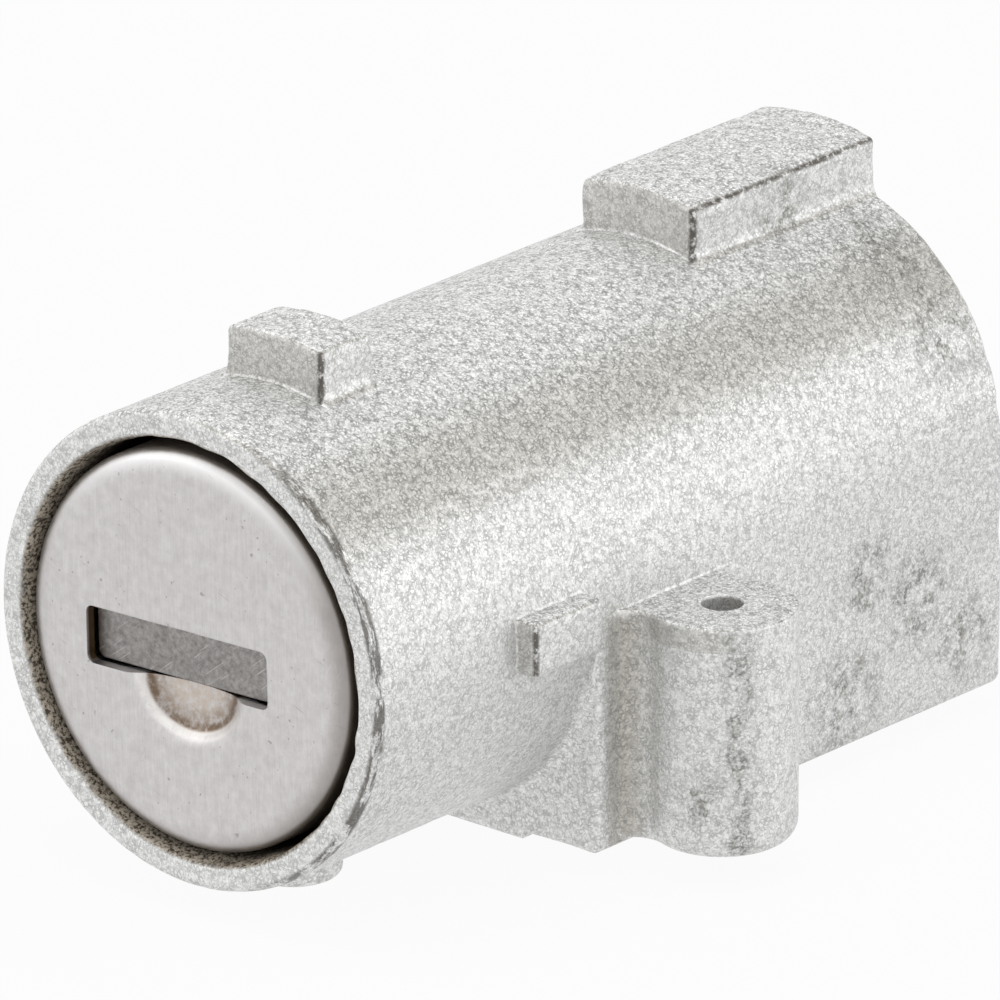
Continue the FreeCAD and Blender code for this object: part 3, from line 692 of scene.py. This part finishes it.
        x, z, wide, high = self.scoop
        split = put(tree, "SeparateXYZ", {0: level.outputs[0]})
        offset = put(tree, "CombineXYZ", {"X": split.outputs["X"], "Y": 0.0, "Z": split.outputs["Z"]})
        around = put(tree, "VectorMath", {0: offset.outputs[0], 1: (x * MM, 0.0, z * MM)}, operation="SUBTRACT")
        shrunk = put(tree, "VectorMath", {
            0: around.outputs[0], 1: (per_mm(wide), 0.0, per_mm(high)),
        }, operation="MULTIPLY")
        reach = put(tree, "VectorMath", {0: shrunk.outputs[0]}, operation="LENGTH")
        within = put(tree, "MapRange", {
            "Value": reach.outputs["Value"], "From Min": 0.96, "From Max": 0.8, "To Max": 0.55,
        }, interpolation_type="SMOOTHSTEP")
        ahead = put(tree, "MapRange", {"Value": split.outputs["Y"], "From Min": 2.0 * MM, "From Max": 1.8 * MM})
        mottle = put(tree, "TexNoise", {"Vector": own.outputs[0], "Scale": per_mm(0.4), "Detail": 4.0, "Roughness": 0.7})
        patch = put(tree, "MapRange", {"Value": mottle.outputs[0], "From Min": 0.38, "From Max": 0.58, "To Min": 0.1})
        # Painted warm reflection over the scoop, in patches, on the pressed face only.
        warm_reflection_share = put(tree, "Math", {0: within.outputs[0], 1: patch.outputs[0]}, operation="MULTIPLY")
        warm_reflection_share = put(tree, "Math", {0: warm_reflection_share.outputs[0], 1: ahead.outputs[0]}, operation="MULTIPLY")
        tone = put(tree, "Mix", {0: warm_reflection_share.outputs[0], 6: tone, 7: linear(self.painted_warm_reflection)}, data_type="RGBA")
        # Patchy strength of the painted rings.
        patchy_mark = put(tree, "MapRange", {
            "Value": mottle.outputs[0], "From Min": 0.36, "From Max": 0.58, "To Min": 0.4,
        })
        # Each ring is painted light: shade on the floor, highlight on the lower wall, shade in the crease.
        for inner, start, end, outer, most, colour in self.rings:
            into = put(tree, "MapRange", {
                "Value": reach.outputs["Value"], "From Min": inner, "From Max": start, "To Max": most,
            }, interpolation_type="SMOOTHSTEP")
            out = put(tree, "MapRange", {
                "Value": reach.outputs["Value"], "From Min": outer, "From Max": end,
            }, interpolation_type="SMOOTHSTEP")
            ring = put(tree, "Math", {0: into.outputs[0], 1: out.outputs[0]}, operation="MULTIPLY")
            ring = put(tree, "Math", {0: ring.outputs[0], 1: ahead.outputs[0]}, operation="MULTIPLY")
            ring = put(tree, "Math", {0: ring.outputs[0], 1: patchy_mark.outputs[0]}, operation="MULTIPLY")
            tone = put(tree, "Mix", {0: ring.outputs[0], 6: tone.outputs[2], 7: linear(colour)}, data_type="RGBA")

        # Darker brown on the slot's short walls, deeper than 0.17 mm in: grime with painted shade.
        middle, half, height_at, half_height = self.slot
        aside = put(tree, "Math", {0: split.outputs["X"], 1: middle * MM}, operation="SUBTRACT")
        aside = put(tree, "Math", {0: aside.outputs[0]}, operation="ABSOLUTE")
        ends = put(tree, "MapRange", {
            "Value": aside.outputs[0], "From Min": (half + 0.06) * MM, "From Max": (half + 0.03) * MM,
        })
        outer = put(tree, "MapRange", {
            "Value": aside.outputs[0], "From Min": (half - 0.3) * MM, "From Max": (half - 0.1) * MM,
        })
        sunk = put(tree, "MapRange", {"Value": split.outputs["Y"], "From Min": 0.17 * MM, "From Max": 0.3 * MM})
        wall = put(tree, "Math", {0: ends.outputs[0], 1: outer.outputs[0]}, operation="MULTIPLY")
        wall = put(tree, "Math", {0: wall.outputs[0], 1: sunk.outputs[0]}, operation="MULTIPLY")
        above = put(tree, "Math", {0: split.outputs["Z"], 1: height_at * MM}, operation="SUBTRACT")
        above = put(tree, "Math", {0: above.outputs[0]}, operation="ABSOLUTE")
        level_with = put(tree, "Math", {0: above.outputs[0], 1: half_height * MM}, operation="LESS_THAN")
        wall = put(tree, "Math", {0: wall.outputs[0], 1: level_with.outputs[0]}, operation="MULTIPLY")
        tone = put(tree, "Mix", {0: wall.outputs[0], 6: tone.outputs[2], 7: linear(self.grime_and_shade)}, data_type="RGBA")

        soft = put(tree, "Bevel", {"Radius": 0.08 * MM}, samples=4)
        bump = put(tree, "Bump", {
            "Strength": 0.3, "Distance": 0.005 * MM, "Height": height, "Normal": soft.outputs[0],
        })
        rough = put(tree, "MapRange", {"Value": height, "To Min": 0.44, "To Max": 0.34})
        tree.links.new(tone.outputs[2], shader.inputs["Base Color"])
        tree.links.new(rough.outputs[0], shader.inputs["Roughness"])
        tree.links.new(bump.outputs[0], shader.inputs["Normal"])
        return made


@dataclass(frozen=True)
class WornMetal:
    """Plain metal of a small piece: mottled tone, drawn or ground lines and a soft edge."""

    name: str
    light: str
    dark: str
    mottle: float
    rough: float
    lines: tuple = (0.3, 0.3, 0.3)
    relief: float = 0.01
    scratch: str = "#FFFFFF"
    scratches: float = 0.0

    def build(self) -> bpy.types.Material:
        """Build the material.

        The tone mixes two colours by a mottled noise, and the relief is a
        noise whose cell on each axis is the given line size.

        Returns:
            The material.
        """
        made, tree, shader, place = blank(self.name)
        cloud = put(tree, "TexNoise", {"Vector": place, "Scale": per_mm(self.mottle), "Detail": 4.0, "Roughness": 0.65})
        spread = put(tree, "MapRange", {"Value": cloud.outputs[0], "From Min": 0.32, "From Max": 0.66})
        tone = put(tree, "Mix", {0: spread.outputs[0], 6: linear(self.dark), 7: linear(self.light)}, data_type="RGBA")
        drawn = put(tree, "Mapping", {"Vector": place, "Scale": tuple(per_mm(size) for size in self.lines)})
        lines = put(tree, "TexNoise", {"Vector": drawn.outputs[0], "Scale": 1.0, "Detail": 3.0})
        height = lines.outputs[0]
        if self.scratches:
            slant = put(tree, "VectorRotate", {"Vector": place, "Angle": math.radians(38.0)}, rotation_type="Y_AXIS")
            long = put(tree, "Mapping", {
                "Vector": slant.outputs[0], "Scale": (per_mm(1.6), per_mm(1.6), per_mm(0.07)),
            })
            streak = put(tree, "TexNoise", {"Vector": long.outputs[0], "Scale": 1.0, "Detail": 1.0})
            mark = put(tree, "MapRange", {
                "Value": streak.outputs[0], "From Min": 0.66, "From Max": 0.72, "To Max": self.scratches,
            })
            tone = put(tree, "Mix", {0: mark.outputs[0], 6: tone.outputs[2], 7: linear(self.scratch)}, data_type="RGBA")
        soft = put(tree, "Bevel", {"Radius": 0.08 * MM}, samples=4)
        bump = put(tree, "Bump", {
            "Strength": 0.5, "Distance": self.relief * MM, "Height": height, "Normal": soft.outputs[0],
        })
        rough = put(tree, "MapRange", {
            "Value": cloud.outputs[0], "To Min": self.rough + 0.08, "To Max": self.rough - 0.08,
        })
        tree.links.new(tone.outputs[2], shader.inputs["Base Color"])
        tree.links.new(rough.outputs[0], shader.inputs["Roughness"])
        tree.links.new(bump.outputs[0], shader.inputs["Normal"])
        return made


# Pieces


@dataclass
class CastHousing:
    """The die-casting: nose, arched body, lugs, tab, boss, stub and land, with its bores."""

    nose_radius: float = 10.0
    length: float = 39.15
    body_start: float = 13.5
    body_drop: float = 10.25
    rim_round: float = 0.35
    foot_round: float = 0.6
    rear_round: float = 0.45
    bay_radius: float = 8.87
    bay_depth: float = 5.5
    bay_draw: float = 0.12
    core_radius: float = 6.55
    small_lug: tuple = (5.25, 8.4, 2.54, 12.05)
    big_lug: tuple = (27.6, 39.15, 3.0, 12.2)
    boss_x: float = 12.6
    boss_y: float = 18.07
    boss_radius: float = 3.1
    boss_flare: float = 1.1
    boss_height: float = 10.0
    chip: float = 0.09
    made: list = field(default_factory=list)

    def nose(self) -> bpy.types.Object:
        """Turned nose whose rim is chipped and whose face is uneven.

        The radius is the profile less a chip, where the random field is high
        and most of all towards +X, and it flares out into the wall's foot.

        Returns:
            The solid.
        """
        count, r = 540, self.rim_round
        bend = np.radians(np.linspace(-90.0, 0.0, 8))
        face = np.array([8.0, 8.5, 8.9, 9.1, 9.3, 9.5])
        wall = self.body_start
        along = np.linspace(0.6, wall - self.foot_round, 34)
        hollow = np.linspace(wall - self.foot_round, wall, 7)[1:]
        radii = np.concatenate([
            face, self.nose_radius - r + r * np.cos(bend), np.full(len(along) + len(hollow) + 1, self.nose_radius),
        ])
        levels = np.concatenate([np.zeros(len(face)), r + r * np.sin(bend), along, hollow, [wall + 0.32]])
        plain = turned(radii, levels, count)
        foot = np.zeros(len(levels))
        inner = slice(len(levels) - 1 - len(hollow), len(levels) - 1)
        drop = hollow - (wall - self.foot_round)
        foot[inner] = self.foot_round - np.sqrt(np.maximum(self.foot_round ** 2 - drop ** 2, 0.0))
        side = np.maximum(np.abs(plain[..., 0]) / self.nose_radius, 1e-6)
        down = np.maximum(-plain[..., 2] / self.nose_radius, 1e-6)
        bound = np.minimum((self.nose_radius - 0.3) / side, (self.body_drop - 0.3) / down)
        bound = np.where(plain[..., 2] < 0.0, np.maximum(bound, self.nose_radius), self.nose_radius)
        grown = np.minimum(radii[:, None] + foot[:, None], np.maximum(bound, radii[:, None]))
        at_rim = np.exp(-((levels - 0.12) / 0.3) ** 2) * np.clip((radii - 9.3) / 0.5, 0.0, 1.0)
        rare = np.clip(uneven(plain, 1.9, 3) - 0.3, 0.0, 1.5)
        worn = rare * np.clip(uneven(plain, 0.42, 5) - 0.2, 0.0, 2.0) + 0.25 * np.clip(uneven(plain, 0.3, 7), 0.0, 2.0)
        exposed = np.clip(0.35 + 0.6 * plain[..., 0] / self.nose_radius + 0.25 * plain[..., 2] / self.nose_radius, 0.06, 1.0)
        chips = self.chip * at_rim[:, None] * worn * exposed
        rough = 0.016 * np.clip(uneven(plain, 0.5, 8) + 1.0, 0.0, 2.5)
        on_face = (radii < 9.6) & (levels < 0.01)
        on_side = (levels > 0.5) & (levels < wall - 0.7)
        y = levels[:, None] + chips * 0.6 + np.where(on_face[:, None], rough, 0.0)
        return solid("nose", turned(grown - chips - np.where(on_side[:, None], rough * 0.5, 0.0), y, count))

    def body(self) -> bpy.types.Object:
        """Arched body: half round above and square below, carried along Y with rounded ends."""
        half, r, low = self.nose_radius, 0.5, -self.body_drop
        outline = np.concatenate([
            arc((0.0, 0.0), half, 0.0, 180.0, 320), run((-half, 0.0), (-half, low + r), 12),
            arc((-half + r, low + r), r, 180.0, 270.0, 8), run((-half + r, low), (half - r, low), 12),
            arc((half - r, low + r), r, 270.0, 360.0, 8), run((half, low + r), (half, 0.0), 12),
        ])
        levels, insets = eased(self.body_start, self.length, 0.3, self.rear_round, 7)
        rings = carried(outline, levels, insets, Axis.Y)
        worn = 0.05 * np.clip(uneven(rings, 0.8, 11), 0.0, 2.0) * (insets > 0.0)[:, None]
        return solid("body", carried(outline, levels, insets[:, None] + worn, Axis.Y))

    def lug(self, name: str, start: float, end: float, half: float, top: float) -> bpy.types.Object:
        """Lug with an arched crown, rounded edges and hollow feet, carried along Y.

        The feet start well below the body's surface, so that no slit opens
        under them, and are drawn in with the round of the body's rear edge.

        Args:
            name: Name of the solid.
            start: Y of its front.
            end: Y of its back.
            half: Half of its width.
            top: Radius of its crown about the lock's axis.

        Returns:
            The solid.
        """
        r, foot = 0.35, 0.7
        corner_x = half - r
        corner_z = math.sqrt((top - r) ** 2 - corner_x ** 2)
        lean = math.degrees(math.atan2(corner_z, corner_x))
        foot_x = half + foot
        foot_z = math.sqrt((self.nose_radius + foot) ** 2 - foot_x ** 2)
        heel = math.degrees(math.atan2(foot_z, foot_x))
        sunk = self.nose_radius - 1.2
        right = np.concatenate([
            arc((0.0, 0.0), sunk, heel, heel, 1), arc((foot_x, foot_z), foot * 1.02, 180.0 + heel, 180.0, 9),
            run((half, foot_z), (half, corner_z), 4), arc((corner_x, corner_z), r, 0.0, lean, 8),
        ])
        crown = arc((0.0, 0.0), top, lean, 180.0 - lean, 40)[1:-1]
        outline = np.concatenate([right, crown, (right * (-1.0, 1.0))[::-1], [(0.0, 5.0)]])
        levels, insets = eased(start, end, 0.21, 0.21, 5)
        levels = np.insert(levels, 5, np.linspace(start + 0.3, end - 0.3, 12))
        insets = np.insert(insets, 5, np.zeros(12))
        rings = carried(outline, levels, insets, Axis.Y)
        worn = 0.035 * np.clip(uneven(rings, 0.6, 17), 0.0, 2.0)
        at_foot = np.clip((np.abs(outline[:, 0]) - half) / (0.35 * foot), 0.0, 1.0)
        rings = carried(outline, levels, (insets[:, None] + worn) * (1.0 - at_foot), Axis.Y)
        into = np.clip(levels - (self.length - self.rear_round), 0.0, self.rear_round)
        drop = self.rear_round - np.sqrt(self.rear_round ** 2 - into ** 2)
        rings[..., ::2] *= (1.0 - drop[:, None] * at_foot / self.nose_radius)[..., None]
        return solid(name, rings, np.array([(0.0, start, 8.0), (0.0, end, 8.0)]))

    def boss(self) -> bpy.types.Object:
        """Screw boss with hollow flares into the wall, carried along Z with a round foot."""
        reach, gap = self.boss_radius + self.boss_flare, self.boss_x - self.nose_radius - self.boss_flare
        rise = math.sqrt(reach ** 2 - gap ** 2)
        lean = math.degrees(math.atan2(rise, gap))
        flare_x = self.nose_radius + self.boss_flare
        near = arc((flare_x, self.boss_y - rise), self.boss_flare, 180.0, lean, 12)
        front = arc((self.boss_x, self.boss_y), self.boss_radius, lean - 180.0, 180.0 - lean, 90)[1:-1]
        far = arc((flare_x, self.boss_y + rise), self.boss_flare, -lean, -180.0, 12)
        back = np.array([(5.0, self.boss_y + rise), (5.0, self.boss_y - rise)])
        outline = np.concatenate([near, front, far, back])
        levels, insets = eased(-self.boss_height, 0.0, 0.9, 0.12, 8)
        hubs = np.array([(9.0, self.boss_y, -self.boss_height), (9.0, self.boss_y, 0.0)])
        return solid("boss", carried(outline, levels, insets, Axis.Z), hubs)

    def small_forms(self) -> list[bpy.types.Object]:
        """Side tab, stub under the nose and land on the underside."""
        reach = self.nose_radius + 1.0
        tab = np.concatenate([
            arc((12.4, -0.65), 0.3, -90.0, 0.0, 6), arc((12.4, 1.1), 0.3, 0.0, 90.0, 6),
            arc((8.8, 1.1), 0.3, 90.0, 180.0, 6), arc((8.8, -0.65), 0.3, 180.0, 270.0, 6),
        ])
        levels, insets = eased(5.0, reach, 0.0, 0.28, 6)
        forms = [solid("tab", carried(tab, levels, insets, Axis.X))]
        levels, insets = eased(-11.3, -5.0, 0.4, 0.0, 6)
        forms.append(solid("stub", carried(arc((0.0, 6.35), 2.0, 0.0, 357.0, 120), levels, insets, Axis.Z)))
        land = np.array([(-5.8, 13.7), (5.8, 13.7), (5.8, 20.9), (-5.8, 20.9)])
        levels, insets = eased(-self.body_drop - 0.42, -9.0, 0.28, 0.0, 6)
        forms.append(solid("land", carried(land, levels, insets, Axis.Z)))
        return forms

    def bores(self) -> list[bpy.types.Object]:
        """Solids of everything that is cored or drilled out."""
        bay, r = self.bay_radius, 0.25
        mouth = np.radians(np.linspace(-90.0, -180.0, 6))
        radii = np.concatenate([[bay + r], bay + r + r * np.cos(mouth), [bay - self.bay_draw] * 2])
        levels = np.concatenate([[-r], r + r * np.sin(mouth), [0.9, self.bay_depth]])
        plain = turned(radii, levels, 480)
        worn = 0.03 * uneven(plain, 0.6, 23) * (levels < 1.0)[:, None]
        cuts = [solid("bay", turned(radii[:, None] + worn, levels, 480))]
        for name, radius, start, end in (("core", self.core_radius, 5.0, 21.2), ("tail", 6.05, 21.0, 28.3)):
            cuts.append(solid(name, turned(np.full(2, radius), np.array([start, end]), 240)))
        cuts.append(self.chamber())
        wide = np.array([(-7.3, -3.7), (7.3, -3.7), (7.3, 3.7), (-7.3, 3.7)])
        cuts.append(solid("grooves", carried(wide, np.array([6.2, 16.6]), np.zeros(2), Axis.Y)))
        for name, radius, x, y, low, high in (
            ("pin_hole", 0.8, -6.5, 18.15, -12.0, 3.0), ("boss_hole", 0.88, self.boss_x, self.boss_y, -11.0, 1.0),
        ):
            ring = arc((x, y), radius, 0.0, 354.0, 60)
            cuts.append(solid(name, carried(ring, np.array([low, high]), np.zeros(2), Axis.Z)))
        return cuts

    def chamber(self) -> bpy.types.Object:
        """Bolt's chamber: straight sides, arched roof, open below."""
        side, roof = 6.5, 7.9
        lean = math.degrees(math.acos(side / roof))
        outline = np.concatenate([
            [(-side, -12.0), (side, -12.0)], arc((0.0, 0.0), roof, lean, 180.0 - lean, 40),
        ])
        return solid("chamber", carried(outline, np.array([28.1, 36.6]), np.zeros(2), Axis.Y))

    def build(self, finish: bpy.types.Material) -> bpy.types.Object:
        """Join the forms, cut the bores, and dress the casting.

        Args:
            finish: Material of the casting.

        Returns:
            The piece.
        """
        forms = [self.body(), self.lug("small_lug", *self.small_lug), self.lug("big_lug", *self.big_lug), self.boss()]
        casting = joined(self.nose(), forms + self.small_forms(), Join.ADD)
        casting = joined(casting, self.bores(), Join.CUT)
        dressed(casting, "housing_casting", finish, 32.0)
        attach(casting, "housing")
        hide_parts("housing")
        return casting


@dataclass
class PressedCap:
    """The plug's cap: sheet with a rolled rim, a key slot and a thumb scoop below it."""

    radius: float = 8.4
    shift: tuple = (-0.2, 0.0, -0.12)
    face: float = 0.12
    sheet: float = 0.5
    skirt: float = 3.0
    rim_round: float = 0.6
    rim_reach: float = 1.35
    rim_power: float = 2.1
    slot_x: float = -0.69
    slot_z: float = -0.40
    slot_half_length: float = 4.8
    slot_half_width: float = 1.225
    slot_round: float = 0.35
    scoop_x: float = -0.29
    scoop_half: tuple = (2.9, 2.25)
    scoop_line: tuple = (
        (1.18, -0.60), (1.15, -0.01), (1.09, 0.02), (1.03, 0.07), (0.97, 0.15), (0.91, 0.27), (0.86, 0.38),
        (0.81, 0.47), (0.74, 0.55), (0.64, 0.63), (0.50, 0.71), (0.34, 0.78), (0.18, 0.82), (0.02, 0.84),
    )

    def cup(self) -> bpy.types.Object:
        """Turned cup, one sheet thick.

        Over the rim the level drops by the roll times one less the square
        root of one less the share of the way out, raised to a power.
        """
        t, r, reach, back = self.sheet, self.rim_round, self.rim_reach, self.face + self.skirt
        share = np.sin(np.linspace(0.0, math.pi / 2, 26))
        roll = self.face + r * (1.0 - np.sqrt(1.0 - share ** self.rim_power))
        outer = np.concatenate([np.linspace(0.2, self.radius - reach, 14)[:-1], self.radius - reach * (1.0 - share)])
        level = np.concatenate([np.full(13, self.face), roll])
        shrink = (self.radius - t) / self.radius
        radii = np.concatenate([outer, [self.radius, self.radius - t], (outer * shrink)[::-1]])
        levels = np.concatenate([level, [back, back], (level + t)[::-1]])
        return solid("cup", turned(radii, levels, 360) + self.shift)

    def bowl(self, name: str, grow: float) -> bpy.types.Object:
        """Scoop as a solid: its profile turned about the slot's lower edge, and stretched.

        X and Z are the profile's share times the half widths, and Y is the
        face plus the profile's depth.

        Args:
            name: Name of the solid.
            grow: Sheet thickness to add on the outside.

        Returns:
            The solid.
        """
        share, depth = np.array(self.scoop_line).T
        count = 160
        angle = np.linspace(0.0, 2.0 * math.pi, count, endpoint=False)
        wide = (self.scoop_half[0] + grow) * share[:, None] * np.cos(angle)
        high = (self.scoop_half[1] + grow) * share[:, None] * np.sin(angle)
        y = self.face + np.maximum(depth + grow, grow / 2 if grow else -1.0)
        rings = np.stack([
            wide + self.scoop_x, np.broadcast_to(y[:, None], wide.shape), high + self.slot_z - self.slot_half_width,
        ], axis=2)
        return solid(name, rings)

    def slot(self, name: str, start: float, end: float, upper: float) -> bpy.types.Object:
        """Key slot as a solid.

        Args:
            name: Name of the solid.
            start: First Y.
            end: Last Y.
            upper: Height of its upper edge above the slot's middle.

        Returns:
            The solid.
        """
        r, x0, x1 = self.slot_round, self.slot_x - self.slot_half_length, self.slot_x + self.slot_half_length
        low, high = self.slot_z - self.slot_half_width, self.slot_z + upper
        outline = np.concatenate([
            arc((x1 - r, low + r), r, -90.0, 0.0, 7), arc((x1 - r, high - r), r, 0.0, 90.0, 7),
            arc((x0 + r, high - r), r, 90.0, 180.0, 7), arc((x0 + r, low + r), r, 180.0, 270.0, 7),
        ])
        return solid(name, carried(outline, np.array([start, end]), np.zeros(2), Axis.Y))

    def build(self, finish: bpy.types.Material) -> bpy.types.Object:
        """Press the scoop, cut the slot, turn the cap to its rest and dress it.

        Args:
            finish: Material of the cap.

        Returns:
            The piece.
        """
        cap = joined(self.cup(), [self.bowl("pressed", self.sheet)], Join.ADD)
        cuts = [self.bowl("scoop", 0.0), self.slot("key_slot", -1.0, 3.5, self.slot_half_width)]
        cap = joined(cap, cuts, Join.CUT)
        to_axis = Matrix.Translation(Vector(spot(0.0, 0.0, 0.0)))
        cap.data.transform(to_axis @ Matrix.Rotation(REST_TURN, 4, "Y") @ to_axis.inverted())
        dressed(cap, "cap_sheet", finish, 28.0)
        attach(cap, "plug")
        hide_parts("cap")
        return cap


@dataclass
class InnerWorks:
    """The CAD pieces that stay, each with its own metal."""

    metals: dict = field(default_factory=lambda: {
        "plug": WornMetal("cast_plug_zinc", "#8E8C88", "#5E5B57", 0.6, 0.5, relief=0.02),
        "shutter": WornMetal(
            "rolled_shutter_steel", "#A3A09E", "#7E7B79", 0.22, 0.42, (0.12, 0.3, 0.3), 0.008, "#D0CECC", 0.5,
        ),
        "bolt": WornMetal("plated_bolt_steel", "#C3C4C4", "#A2A39F", 0.8, 0.36, (0.15, 0.15, 2.0), 0.01),
        "wafer": WornMetal("stamped_brass", "#D9BC7A", "#B3924F", 0.7, 0.34, (0.1, 0.1, 1.2), 0.006),
        "spring": WornMetal("drawn_spring_wire", "#8F8D8A", "#6A6865", 0.3, 0.32, (0.1, 0.1, 0.1), 0.005),
        "pin": WornMetal("ground_pin_steel", "#B9B8B6", "#9A9997", 0.4, 0.3, (0.4, 0.06, 0.4), 0.005),
    })

    def metal_of(self, node: str) -> str:
        """Key of a node's metal: springs first, then pins and driver, then its first word."""
        if "spring" in node:
            return "spring"
        if "pin" in node or node == "driver":
            return "pin"
        return node.split("_")[0]

    def build(self, nodes: dict) -> None:
        """Dress every CAD node that still shows.

        Args:
            nodes: CAD objects by node name.
        """
        built = {key: metal.build() for key, metal in self.metals.items()}
        for name, piece in nodes.items():
            key = self.metal_of(name)
            if key in built:
                piece.data.materials.clear()
                piece.data.materials.append(built[key])
                LOG.info("%s: %s", name, built[key].name)


# Studio


@dataclass(frozen=True)
class Softbox:
    """Square lamp that faces the lock, as bright as so many times white."""

    name: str
    azimuth: float
    elevation: float
    distance: float
    size: float
    radiance: float

    def hang(self, target: Vector) -> None:
        """Place the lamp.

        Its direction is (sin a cos e, -cos a cos e, sin e), and its power is
        radiance times pi times its area.

        Args:
            target: Point that it faces.
        """
        a, e = math.radians(self.azimuth), math.radians(self.elevation)
        out = Vector((math.sin(a) * math.cos(e), -math.cos(a) * math.cos(e), math.sin(e)))
        lamp = bpy.data.lights.new(self.name, "AREA")
        lamp.shape = "SQUARE"
        lamp.size = self.size
        lamp.energy = self.radiance * math.pi * self.size ** 2
        holder = bpy.data.objects.new(self.name, lamp)
        holder.location = target + out * self.distance
        holder.rotation_euler = out.to_track_quat("Z", "Y").to_euler()
        bpy.context.scene.collection.objects.link(holder)


@dataclass(frozen=True)
class Studio:
    """Pale floor, white surround, soft lamps and the photo's camera."""

    azimuth: float = 40.645
    elevation: float = 20.724
    focal_px: float = 20123.0
    distance_mm: float = 800.0
    frame_px: float = 1000.0
    sensor_mm: float = 36.0
    axis_px: tuple = (187.07, 652.65)
    lamps: tuple = (
        Softbox("top_softbox", 10.0, 78.0, 0.5, 0.42, 1.0),
        Softbox("left_softbox", -55.0, 28.0, 0.55, 0.3, 0.65),
        Softbox("right_softbox", 128.0, 12.0, 0.55, 0.36, 1.3),
    )

    def camera(self) -> None:
        """Set the camera where the photo was taken from.

        The centre of the cap's face falls on a known pixel, so its place in
        camera axes is that pixel's offset over the focal length, times the
        distance.
        """
        a, e = math.radians(self.azimuth), math.radians(self.elevation)
        right = np.array([math.cos(a), math.sin(a), 0.0])
        back = np.array([math.sin(a) * math.cos(e), -math.cos(a) * math.cos(e), math.sin(e)])
        up = np.cross(back, right)
        scale = self.distance_mm / self.focal_px
        offset = (np.array(self.axis_px) - self.frame_px / 2) * scale
        place = STAND - offset[0] * right + offset[1] * up + self.distance_mm * back
        lens = bpy.data.cameras.new("photo_camera")
        lens.sensor_width = self.sensor_mm
        lens.lens = self.focal_px / self.frame_px * self.sensor_mm
        lens.clip_start = 0.05
        holder = bpy.data.objects.new("photo_camera", lens)
        turn = Matrix(np.stack([right, up, back], axis=1).tolist())
        holder.matrix_world = Matrix.Translation(Vector(place * MM)) @ turn.to_4x4()
        bpy.context.scene.collection.objects.link(holder)
        bpy.context.scene.camera = holder

    def seen(self, tree: bpy.types.NodeTree) -> bpy.types.NodeSocket:
        """One where a ray comes from the camera or off metal or glass, else zero."""
        path = put(tree, "LightPath")
        both = put(tree, "Math", {
            0: path.outputs["Is Camera Ray"], 1: path.outputs["Is Glossy Ray"],
        }, operation="MAXIMUM")
        return put(tree, "Math", {
            0: both.outputs[0], 1: path.outputs["Is Transmission Ray"],
        }, operation="MAXIMUM").outputs[0]

    def floor(self) -> None:
        """Lay the pale floor, which keeps the lock's shadow."""
        made = bpy.data.materials.new("pale_floor")
        made.use_nodes = True
        tree = made.node_tree
        tree.nodes.clear()
        diffuse = put(tree, "BsdfDiffuse", {"Color": linear("#F0F0F0")})
        glow = put(tree, "Emission", {"Color": linear("#FFFFFF"), "Strength": 1.0})
        share = put(tree, "Math", {0: self.seen(tree), 1: 0.92}, operation="MULTIPLY")
        mixed = put(tree, "MixShader", {0: share.outputs[0], 1: diffuse.outputs[0], 2: glow.outputs[0]})
        put(tree, "OutputMaterial", {0: mixed.outputs[0]})
        half = 2.0
        mesh = bpy.data.meshes.new("floor")
        mesh.from_pydata([(-half, -half, 0.0), (half, -half, 0.0), (half, half, 0.0), (-half, half, 0.0)], [], [(0, 1, 2, 3)])
        mesh.materials.append(made)
        floor = bpy.data.objects.new("floor", mesh)
        bpy.context.scene.collection.objects.link(floor)

    def surround(self) -> None:
        """White surround, a little dimmer for the light that it gives."""
        world = bpy.data.worlds.new("surround")
        world.use_nodes = True
        tree = world.node_tree
        tree.nodes.clear()
        white = put(tree, "Background", {"Color": linear("#FFFFFF"), "Strength": 1.0})
        dim = put(tree, "Background", {"Color": linear("#FFFFFF"), "Strength": 0.62})
        mixed = put(tree, "MixShader", {0: self.seen(tree), 1: dim.outputs[0], 2: white.outputs[0]})
        put(tree, "OutputWorld", {0: mixed.outputs[0]})
        bpy.context.scene.world = world

    def build(self) -> None:
        """Set up camera, floor, surround, lamps and the plain view transform."""
        self.camera()
        self.floor()
        self.surround()
        for lamp in self.lamps:
            lamp.hang(Vector((0.0, 0.0, 0.011)))
        bpy.context.scene.view_settings.view_transform = "Standard"


def main() -> None:
    """Build the studio and every piece."""
    logging.basicConfig(level=logging.INFO, format="%(name)s: %(message)s")
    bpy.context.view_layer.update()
    Studio().build()
    for piece in (CastHousing().build(TumbledZinc().build()), PressedCap().build(BrushedStainless().build())):
        LOG.info("%s: %d faces", piece.name, len(piece.data.polygons))
    InnerWorks().build(frame["nodes"])


if __name__ == "__main__":
    main()
